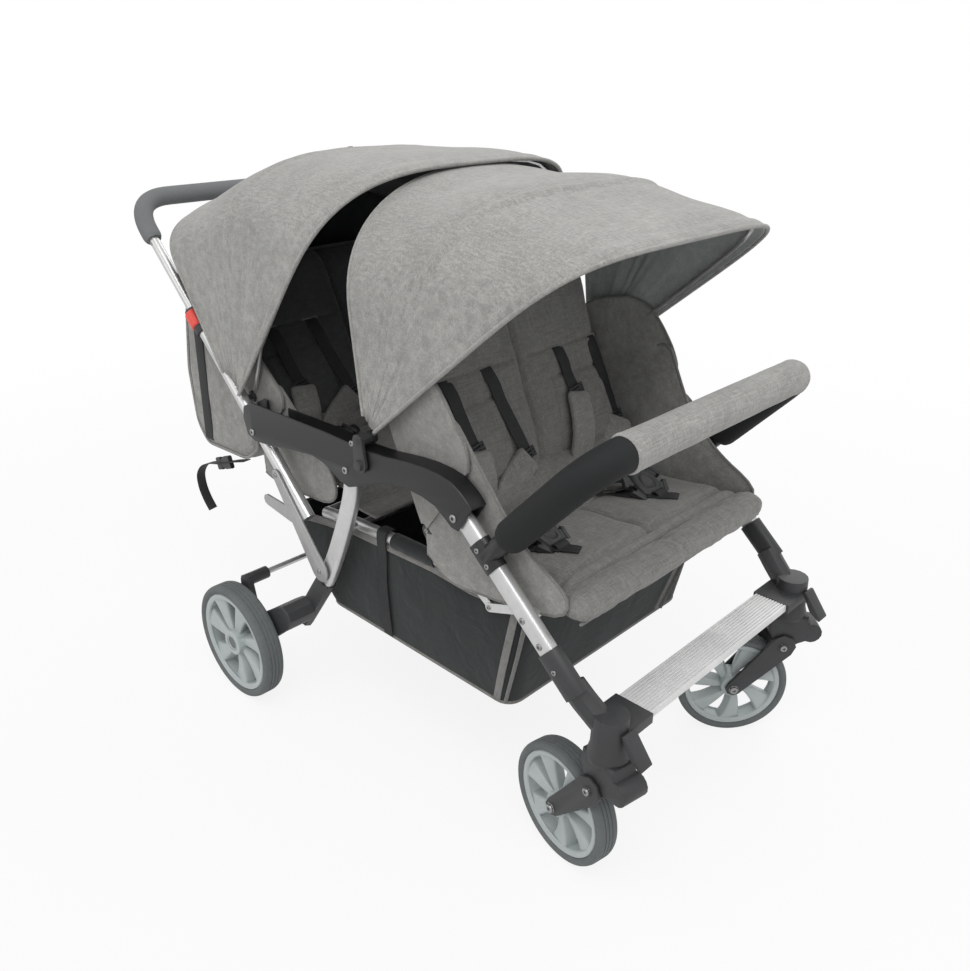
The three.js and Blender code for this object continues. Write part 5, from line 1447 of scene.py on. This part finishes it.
wing_cloth = melange("wing_cloth", 141, contrast=22)
wing_piping = melange("wing_piping", 118, contrast=16, wrinkle=0.0002)
FRONT_WING = reaches(FRONT_HINGE, [
    (506, 735), (480, 752), (440, 764), (402, 769), (366, 761), (337, 739), (307, 700), (282, 658),
    (260, 622), (240, 592), (214, 562), (184, 534), (152, 512), (122, 496), (100, 480), (94, 462),
    (112, 440), (180, 424), (230, 416), (285, 409), (330, 405), (356, 414), (380, 432), (400, 440),
])
REAR_WING = reaches(REAR_HINGE, [
    (1010, 760), (985, 790), (945, 778), (905, 735), (860, 685), (805, 640), (755, 596), (705, 552),
    (665, 515), (643, 480), (645, 452), (670, 434), (720, 428), (790, 424), (840, 426), (872, 434),
    (895, 446),
])
for side, sign in SIDES:
    for panel, hinge, table, angles, lap, outer, swell, body, flare in (
        ("front_wing_back", FRONT_HINGE, FRONT_WING, (65, 127), 127, 267.2, 4.5, "front_back", 14),
        ("front_wing_seat", FRONT_HINGE, FRONT_WING, (106, 268), 106, 262.6, 5, "seat_frame", 14),
        ("rear_wing_back", REAR_HINGE, REAR_WING, (66, 130), 130, 262.0, 4, "rear_back", 0),
        ("rear_wing_seat", REAR_HINGE, REAR_WING, (112, 268), 112, 257.2, 4, "seat_frame", 0),
    ):
        wing(f"{panel}_{side}", sign, hinge, table, angles, lap, outer, swell, body, flare)


# The rear seat's cloth runs on in front, down over the tubes that the seat frame turns on.

LIP = [(655, 474), (640, 468), (620, 455), (606, 444.5), (596, 439.5), (575, 438.6), (552, 438.2)]
lip = Workpiece()
grid = []
for y, z in flowing(LIP, 4):
    row = []
    for column in range(41):
        across = 2 * column / 40 - 1
        sag = 1.6 * uneven(across * 5, y * 0.02, 2.2)
        row.append((238 * across, y, z + 1.2 + sag * (1 - across ** 6)))
    grid.append(row)
lip.lattice(grid)
rear_lip = lip.piece("rear_seat_lip", seat_cloth, "grey_cloth", "seat_frame", thick=5, crease=60)


# Harnesses: black nylon webbing through slots in each backrest, in padded grey sleeves over
# the shoulders. Lap and crotch straps meet them in a round black five point buckle.


LOOK_FROM = 150  # a height above every pad and strap


def resting(made, at):
    """Height of a pad's upper face above its underside, at a place in its own axes."""
    tree = BVHTree.FromPolygons(
        [vertex.co for vertex in made.data.vertices], [face.vertices for face in made.data.polygons]
    )
    down = (at.to_3x3() @ Vector((0, 0, -1))).normalized()

    def height(x, y):
        hit = tree.ray_cast(at @ Vector((x, y, LOOK_FROM)), down)
        return LOOK_FROM - hit[3] * 1000 if hit[0] else 0.0

    return height


def lying(points, height, lift, steps=7):
    """A path laid on a pad, bridging its hollows; points are (x, y, extra height)."""
    path = flowing(points, steps)
    levels = [height(spot.x, spot.y) for spot in path]
    for _ in range(3):
        levels = [
            max(level, (levels[max(at - 1, 0)] + levels[min(at + 1, len(levels) - 1)]) / 2)
            for at, level in enumerate(levels)
        ]
    return [Vector((spot.x, spot.y, level + lift + spot.z)) for spot, level in zip(path, levels)]


STRAP_THICK = 1.8
SLEEVE_WIDTH, SLEEVE_THICK = 54, 13


def strap(name, at, path, body, width=28):
    tape = Workpiece(at)
    tape.loft(swept(path, rounded_box(width, STRAP_THICK, STRAP_THICK * 0.45, 3)))
    tape.piece(name, black_webbing, "black_cloth", body)


def sleeve(name, at, path, body):
    """A padded sleeve with a piped edge, slipped over a strap."""
    tape = Workpiece(at)
    last = len(path) - 1
    loops, left, right = [], [], []
    for step, (spot, loop) in enumerate(zip(path, swept(path, rounded_box(1, 1, 0.3, 5)))):
        ends = abs(2 * step / last - 1)
        full = (1 - ends ** 9) ** 0.4
        wide = SLEEVE_WIDTH * (0.82 + 0.18 * full)
        deep = SLEEVE_THICK * (0.45 + 0.55 * full)
        middle = sum(loop, Vector()) / len(loop)
        across = (loop[0] + loop[-1]) / 2 - middle
        across.normalize()
        shaped = []
        for corner in loop:
            out = corner - middle
            flat = across * out.dot(across)
            shaped.append(spot + flat * wide + (out - flat) * deep)
        loops.append(shaped)
        left.append(spot + across * wide / 2)
        right.append(spot - across * wide / 2)
    tape.loft(loops)
    made = tape.piece(name, strap_cloth, "grey_cloth", body, crease=50)
    edge = Workpiece(at)
    corners = [left[0], *left[1:-1:3], left[-1], right[-1], *reversed(right[1:-1:3]), right[0]]
    ring = rounded([*corners, left[0]], 3, 3)
    edge.loft(swept(ring[:-1], circle(2.3, 10), (0, 0, 1)), caps=False, closed=True)
    edge.piece(f"{name}_piping", wing_piping, "grey_cloth", body)


BUCKLE_STEPS = (  # height, and share of the full outline
    (0, 0.80), (1.5, 0.93), (4, 0.985), (7.6, 1), (8.2, 0.975), (8.8, 1), (12.5, 0.975),
    (14.8, 0.9), (16, 0.76), (16.3, 0.62), (15.0, 0.58), (14.6, 0.52), (16.4, 0.48), (17.2, 0.42),
    (17.4, 0.3), (16.6, 0.0),
)
TONGUES = ((-24, 12, 62), (24, 12, -62), (-22, -15, 118), (22, -15, -118), (0, -31, 180))


def buckle(name, at):
    """A round five point buckle: two halves, a push button and the tongues of the straps."""
    shell = Workpiece(at)
    loops = []
    for up, share in BUCKLE_STEPS:
        square = 0.62 + 0.38 * min(1, max(0, (0.66 - share) / 0.2))
        loop = []
        for step in range(40):
            turn = 2 * pi * step / 40
            across = copysign(abs(cos(turn)) ** square, cos(turn))
            along = copysign(abs(sin(turn)) ** square, sin(turn))
            loop.append((25 * share * across, 30 * share * along, up))
        loops.append(loop)
    shell.loft(loops)
    for x, y, turn in TONGUES:
        tongue_at = Matrix.Translation((x, y, 0)) @ spin(turn, "Z")
        for wide, low, high, near, far in ((21, 3, 11, -2, 12), (32, 2, 12, 10, 17)):
            box, middle = rounded_box(wide, high - low, 2.4, 3), (low + high) / 2
            shell.loft([
                [tongue_at @ Vector((a, end, middle + b)) for a, b in box] for end in (near, far)
            ])
    shell.piece(name, black_nylon, "black_plastic", "seat_frame", crease=32)


def slot_in(name, at, x, y, level, body):
    """The bound slot that a shoulder strap comes out of."""
    slot = Workpiece(at)
    line = [(x - 19, y, level), (x + 19, y, level)]
    slot.loft(swept(line, rounded_box(7, 3, 1.4, 3), (0, 1, 0)))
    slot.piece(name, wing_piping, "grey_cloth", body)


def ladder_lock(name, at, lock_at, body):
    """A frame with three bars that the strap is threaded through."""
    ladder = Workpiece(at)
    bar, post = rounded_box(4, 3.4, 1.5, 3), rounded_box(4, 4, 1.6, 3)
    for y in (-7, 0, 7):
        ladder.loft([[lock_at @ Vector((x, y + u, v)) for u, v in bar] for x in (-18, 18)])
    for x in (-17, 17):
        ladder.loft([[lock_at @ Vector((x + u, y, v)) for u, v in post] for y in (-9, 9)])
    ladder.piece(name, black_nylon, "black_plastic", body)


def part_way(start, end, share, lift):
    """A place part of the way from one point to another, and its extra height."""
    return (
        start[0] + (end[0] - start[0]) * share, start[1] + (end[1] - start[1]) * share, lift
    )


strap_cloth = melange("strap_cloth", 138, contrast=24)
SHOULDERS = (  # slot, end of the bare strap and foot of the sleeve
    ((-176, 25), (-157, -99), (-168, -196)),
    ((-82, 25), (-44, -139), (-122, -200)),
    ((103, 25), (116, -62), (92, -186)),
    ((197, 25), (222, -136), (172, -198)),
)
CROTCH = [(0, -38, -7), (0, -34, 0), (0, -24, 7), (0, -8, 3), (0, 0, 6)]
LAP = [(74, 116, -5), (74, 104, 3), (64, 70, 7), (48, 38, 9), (30, 26, 12)]
JOIN = [(34, 108, 10), (30, 78, 14), (24, 50, 16), (17, 34, 18)]
TAIL = [(-42, 40, 4), (-34, 16, 3), (-12, -16, 1), (2, -46, 2), (8, -58, 0)]
BUCKLE_Y = 12
LOW_ON_BACK = -166  # below this the backrest's pad falls away from the sleeves


def harness(row, back, back_at, back_body, seat, seat_at):
    """The straps of one row: two to each child's shoulders, and the buckle on the seat."""
    on_back = resting(back, back_at)
    on_seat = resting(seat, seat_at)
    for number, (slot, end, foot) in enumerate(SHOULDERS, 1):
        points = [
            (slot[0], slot[1] + 7, -9), (slot[0], slot[1] + 1, -2), part_way(slot, end, 0.3, 2),
            part_way(slot, end, 0.65, 1), (*end, 2), part_way(end, foot, 0.2, 3),
        ]
        strap(f"{row}_shoulder_strap_{number}", back_at, lying(points, on_back, 1.2), back_body)
        points = [(*end, 0), part_way(end, foot, 1 / 3, 3), (*foot, 8)]
        path = lying(points, lambda x, y: on_back(x, max(y, LOW_ON_BACK)), 8.2, 9)
        sleeve(f"{row}_sleeve_{number}", back_at, path, back_body)
        x, y = slot[0], slot[1] + 4
        slot_in(f"{row}_strap_slot_{number}", back_at, x, y, on_back(x, y) - 0.6, back_body)
        spot = (end[0], end[1] + 4)
        turn = Matrix.Rotation(-atan2(slot[0] - end[0], slot[1] - end[1]), 4, "Z")
        lock_at = Matrix.Translation((*spot, on_back(*spot) + 6.5)) @ turn
        ladder_lock(f"{row}_ladder_lock_{number}", back_at, lock_at, back_body)
    for child, middle, turn in (("right", -150, 14), ("left", 122, -6)):
        here = Matrix.Translation((middle, BUCKLE_Y, on_seat(middle, BUCKLE_Y) + 9))
        buckle(f"{row}_buckle_{child}", seat_at @ (here @ spin(turn, "Z") @ spin(34, "X")))
        for name, hand, points, width in (
            (f"crotch_strap_{child}", 1, CROTCH, 28),
            (f"lap_strap_{child}_3", 1, LAP, 28), (f"join_strap_{child}_3", 1, JOIN, 25),
            (f"lap_strap_{child}_1", -1, LAP, 28), (f"join_strap_{child}_1", -1, JOIN, 25),
            (f"strap_tail_{child}", 1, TAIL, 26),
        ):
            points = [(middle + hand * x, y, lift) for x, y, lift in points]
            path = lying(points, on_seat, 1.2)
            strap(f"{row}_{name}", seat_at, path, "seat_frame", width)


harness("front", front_back, front_back_at, "front_back", front_seat, front_seat_at)
harness("rear", rear_back, rear_back_at, "rear_back", rear_seat, rear_seat_at)


# Canopies: a hood over each row, of heathered grey cloth on a lining, drawn tight over a
# steel bow in its front hem and a lighter hoop behind; the rear hood's lining is painted
# near black, as painted shade. A black clamp on each side holds the bow's end and clicks
# round with it.

eased(pair("front_canopy_clamp") + pair("rear_canopy_clamp"), black_nylon, 1.0)
screws("canopy_clamp_screws", "armrests", [(500, 618)], 319.5, 5.0, 2.0)


def through(values, t):
    """A curve through three values, at 0, a half and 1."""
    first, middle, last = values
    return first * (1 - t) * (1 - 2 * t) + middle * 4 * t * (1 - t) + last * t * (2 * t - 1)


BOW_AT = 0.03  # share of the way from the front hem to the rear one
STITCHING = ((0.047, 2.6, 0.006), (0.062, 1.2, 0.004), (0.955, 1.8, 0.006))
HOOD_ROWS = [0, 0.006, 0.014, 0.024, 0.034, 0.042, 0.05, 0.062, 0.08]
HOOD_ROWS += [0.105 + 0.86 * step / 52 for step in range(53)] + [0.974, 0.985, 0.993, 1.0]


class Hood:
    """A canopy's form: how far its cloth reaches from the pivot, round and along it."""

    def __init__(self, pivot, angles, half, hoop_at, low, straight, crown, square):
        self.pivot, self.angles, self.half, self.hoop_at = pivot, angles, half, hoop_at
        self.low, self.straight, self.crown, self.square = low, straight, crown, square

    def turn(self, t):
        return radians(self.angles[0] + (self.angles[1] - self.angles[0]) * t)

    def section(self, t, inset=0.0, arch=72):
        """(x, reach, share across) round the hood; the share is 0 and 1 at the feet."""
        legs = 8
        low, straight = through(self.low, t), through(self.straight, t)
        crown = through(self.crown, t) * (1 - 0.022 * sin(2 * pi * t) ** 2) - inset
        power = 2 / through(self.square, t)
        half = self.half - inset
        spots = [(half, low + (straight - low) * step / legs) for step in range(legs)]
        for step in range(arch + 1):
            turn = pi * step / arch
            across = copysign(abs(cos(turn)) ** power, cos(turn))
            spots.append((half * across, straight + (crown - straight) * sin(turn) ** power))
        spots += [(-half, low + (straight - low) * step / legs) for step in range(legs - 1, -1, -1)]
        return [(x, reach, at / (len(spots) - 1)) for at, (x, reach) in enumerate(spots)]

    def spot(self, x, reach, t):
        turn = self.turn(t)
        return Vector((x, self.pivot[0] - reach * cos(turn), self.pivot[1] + reach * sin(turn)))

    def crest(self, t):
        """A place in the world, on the middle line of the hood."""
        return tuple(place(*self.spot(0, through(self.crown, t), t)))

    def stands_out(self, x, reach, share, t):
        """How far the sewn cloth stands out from the form: its seams, hoops and creases."""
        angle = degrees(self.turn(t))
        side = min(1, abs(share - 0.5) * 2)
        push = 0.0
        for at, depth, wide in STITCHING:
            push -= depth * exp(-((t - at) / wide) ** 2)
        push += 3.6 * exp(-((t - self.hoop_at) / 0.016) ** 2)
        push -= 2.2 * exp(-((abs(t - self.hoop_at) - 0.034) / 0.008) ** 2)
        push += 1.8 * exp(-((t - BOW_AT) / 0.02) ** 2)
        radial = uneven(angle * 0.16, reach * 0.0035, 5 + x * 0.0006)
        broad = uneven(x * 0.006, angle * 0.05, 1.3)
        fine = uneven(x * 0.02, angle * 0.12, reach * 0.012)
        crumpled = uneven(angle * 0.5, reach * 0.02, x * 0.01)
        creases = 5.6 * side ** 2 * radial + 2.6 * broad + 1.5 * fine + 3.0 * side ** 4 * crumpled
        return push + sin(pi * min(1, max(0, t))) ** 0.5 * creases


def canopy(name, hood, lining):
    """The sewn cover, its lining (the rear one painted near black as painted shade) and the rolled
    hems.
    """
    covers = []
    for layer, cloth, inset, most in (
        ("cover", grey_canopy, 0.0, 5.0), ("lining", lining, 3.6, 1.5),
    ):
        grid = []
        for t in HOOD_ROWS:
            upward = Vector((0, -cos(hood.turn(t)), sin(hood.turn(t))))
            row = []
            for x, reach, share in hood.section(t, inset):
                lean = min(1, max(0, (abs(x) / hood.half - 0.8) / 0.2)) ** 2
                at_side = Vector((copysign(1, x), 0, 0))
                out = (upward * (1 - lean) + at_side * lean).normalized()
                push = min(hood.stands_out(x, reach, share, t), most)
                spot = hood.spot(x, reach, t) + out * push
                spot.x = max(-hood.half, min(hood.half, spot.x))
                row.append(spot)
            grid.append(row)
        work = Workpiece()
        work.lattice(grid)
        made = work.piece(f"{name}_{layer}", cloth, "grey_cloth", crease=70, thick=1.5)
        covers.append((made, grid))
    pieces = [made for made, grid in covers]
    cover_grid = covers[0][1]
    for edge, at, radius in (("front_hem", 0, 3.6), ("rear_hem", -1, 3.0)):
        work = Workpiece()
        path = [spot + Vector((0, 0, -1.6)) for spot in cover_grid[at]]
        work.loft(swept(path, circle(radius, 12), (0, 1, 0)))
        pieces.append(work.piece(f"{name}_{edge}", grey_canopy, "grey_cloth", crease=60))
    for made in pieces:
        hood.crest(0.9)
        hood.crest(0.08)
        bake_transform(made)
    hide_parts(name)


grey_canopy = melange("grey_canopy", 148, contrast=26, wrinkle=0.001)
front_lining = melange("front_lining", 164, tint=(-4, 1, -2), contrast=18)
# The rear lining's near black is painted shade, for the dark inside the rear hood and behind its
# curtain.
rear_lining_painted_shade = melange("rear_lining_painted_shade", 36, tint=(-4, 2, 1), contrast=9)
front_hood = Hood(
    (500, 618), (39.5, 96), 290, 0.42,
    low=(30, 26, 40), straight=(250, 215, 200), crown=(523, 424, 400), square=(4.6, 3.2, 2.4),
)
rear_hood = Hood(
    (877, 591), (51, 124), 301, 0.46,
    low=(22, 34, 60), straight=(280, 262, 270), crown=(555, 430, 400), square=(3.6, 3, 3),
)
canopy("front_canopy", front_hood, front_lining)
canopy("rear_canopy", rear_hood, rear_lining_painted_shade)
eased(["front_canopy_bow", "rear_canopy_bow"], tube_aluminium, 0.3)


# Rear curtain: the rear hood is closed behind by a curtain of the same cloth, its lining
# painted near black as painted shade, that hangs from its rear hem and is sewn to the top
# of the rear cover.

CURTAIN_X = 262
LOW_EDGE = (1091, 738)
top_edge = [
    rear_hood.spot(x, reach - 2, 1.0) for x, reach, share in rear_hood.section(1.0, arch=96)
    if abs(x) <= CURTAIN_X + 3 and reach > 300
]
curtains = []
# The curtain's lining is the rear lining, painted near black as painted shade.
for layer, cloth, shift in (("cloth", grey_canopy, 1.2), ("lining", rear_lining_painted_shade, -1.4)):
    grid = []
    for t in (row / 18 for row in range(19)):
        line = []
        for high in top_edge:
            across = high.x / CURTAIN_X
            low = Vector((CURTAIN_X * across / max(1, abs(across)), *LOW_EDGE))
            spot = high.lerp(low, t)
            folds = uneven(spot.x * 0.012, t * 1.5, 4.4)
            folds += 0.5 * uneven(spot.x * 0.035, t * 3, 1.1)
            spot.y += sin(pi * t) * (-4 + 4 * folds) + shift - 3
            line.append(spot)
        grid.append(line)
    work = Workpiece()
    work.lattice(grid)
    made = work.piece(f"rear_curtain_{layer}", cloth, "grey_cloth", crease=70, thick=1.2, side=0)
    curtains.append(made)
for made in curtains:
    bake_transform(made)
clip = Workpiece()
for y, lean in ((859, -3), (868, 3)):
    prong = [(0, y, 1012), (0, y + lean * 0.4, 1019), (0, y + lean, 1026)]
    clip.loft(swept(prong, rounded_box(13, 4, 1.6, 3), sizes=[1, 0.95, 0.8]))
clip.loft(swept([(0, 855, 1019.5), (0, 873, 1019.5)], rounded_box(18, 3.4, 1.5, 3)))
clip.piece("rear_canopy_clip", black_nylon, "black_plastic", "handle")


# Luggage straps: a black webbing strap on each side of the rear cover, with a side release
# buckle, whose free end hangs down behind.

LUGGAGE_STRAP = (
    (262, 930, 441), (266, 967, 430), (264, 1022, 409), (262, 1072, 394), (259, 1114, 374),
    (256, 1142, 345), (252, 1150, 312), (248, 1144, 282), (245, 1130, 258),
)
LUGGAGE_BUCKLE = (  # the ends of each part of the buckle, and its section
    ((265, 988, 421.5), (264.4, 1012, 412.5), rounded_box(28, 9, 3.4, 4)),
    ((264.6, 1008, 414), (264, 1030, 406), rounded_box(21, 7, 2.8, 4)),
    ((264.2, 1026, 407.3), (264, 1042, 401.8), rounded_box(27, 8, 3, 4)),
)
for side, sign in SIDES:
    path = flowing([(sign * x, y, z) for x, y, z in LUGGAGE_STRAP], 7)
    strap(f"luggage_strap_{side}", STROLLER, path, "rear_back", 20)
    work = Workpiece()
    for *ends, section in LUGGAGE_BUCKLE:
        line = [(sign * x, y, z) for x, y, z in ends]
        work.loft(swept(line, section, (0, 0.35, 0.94)))
    work.piece(f"luggage_buckle_{side}", black_nylon, "black_plastic", "rear_back")
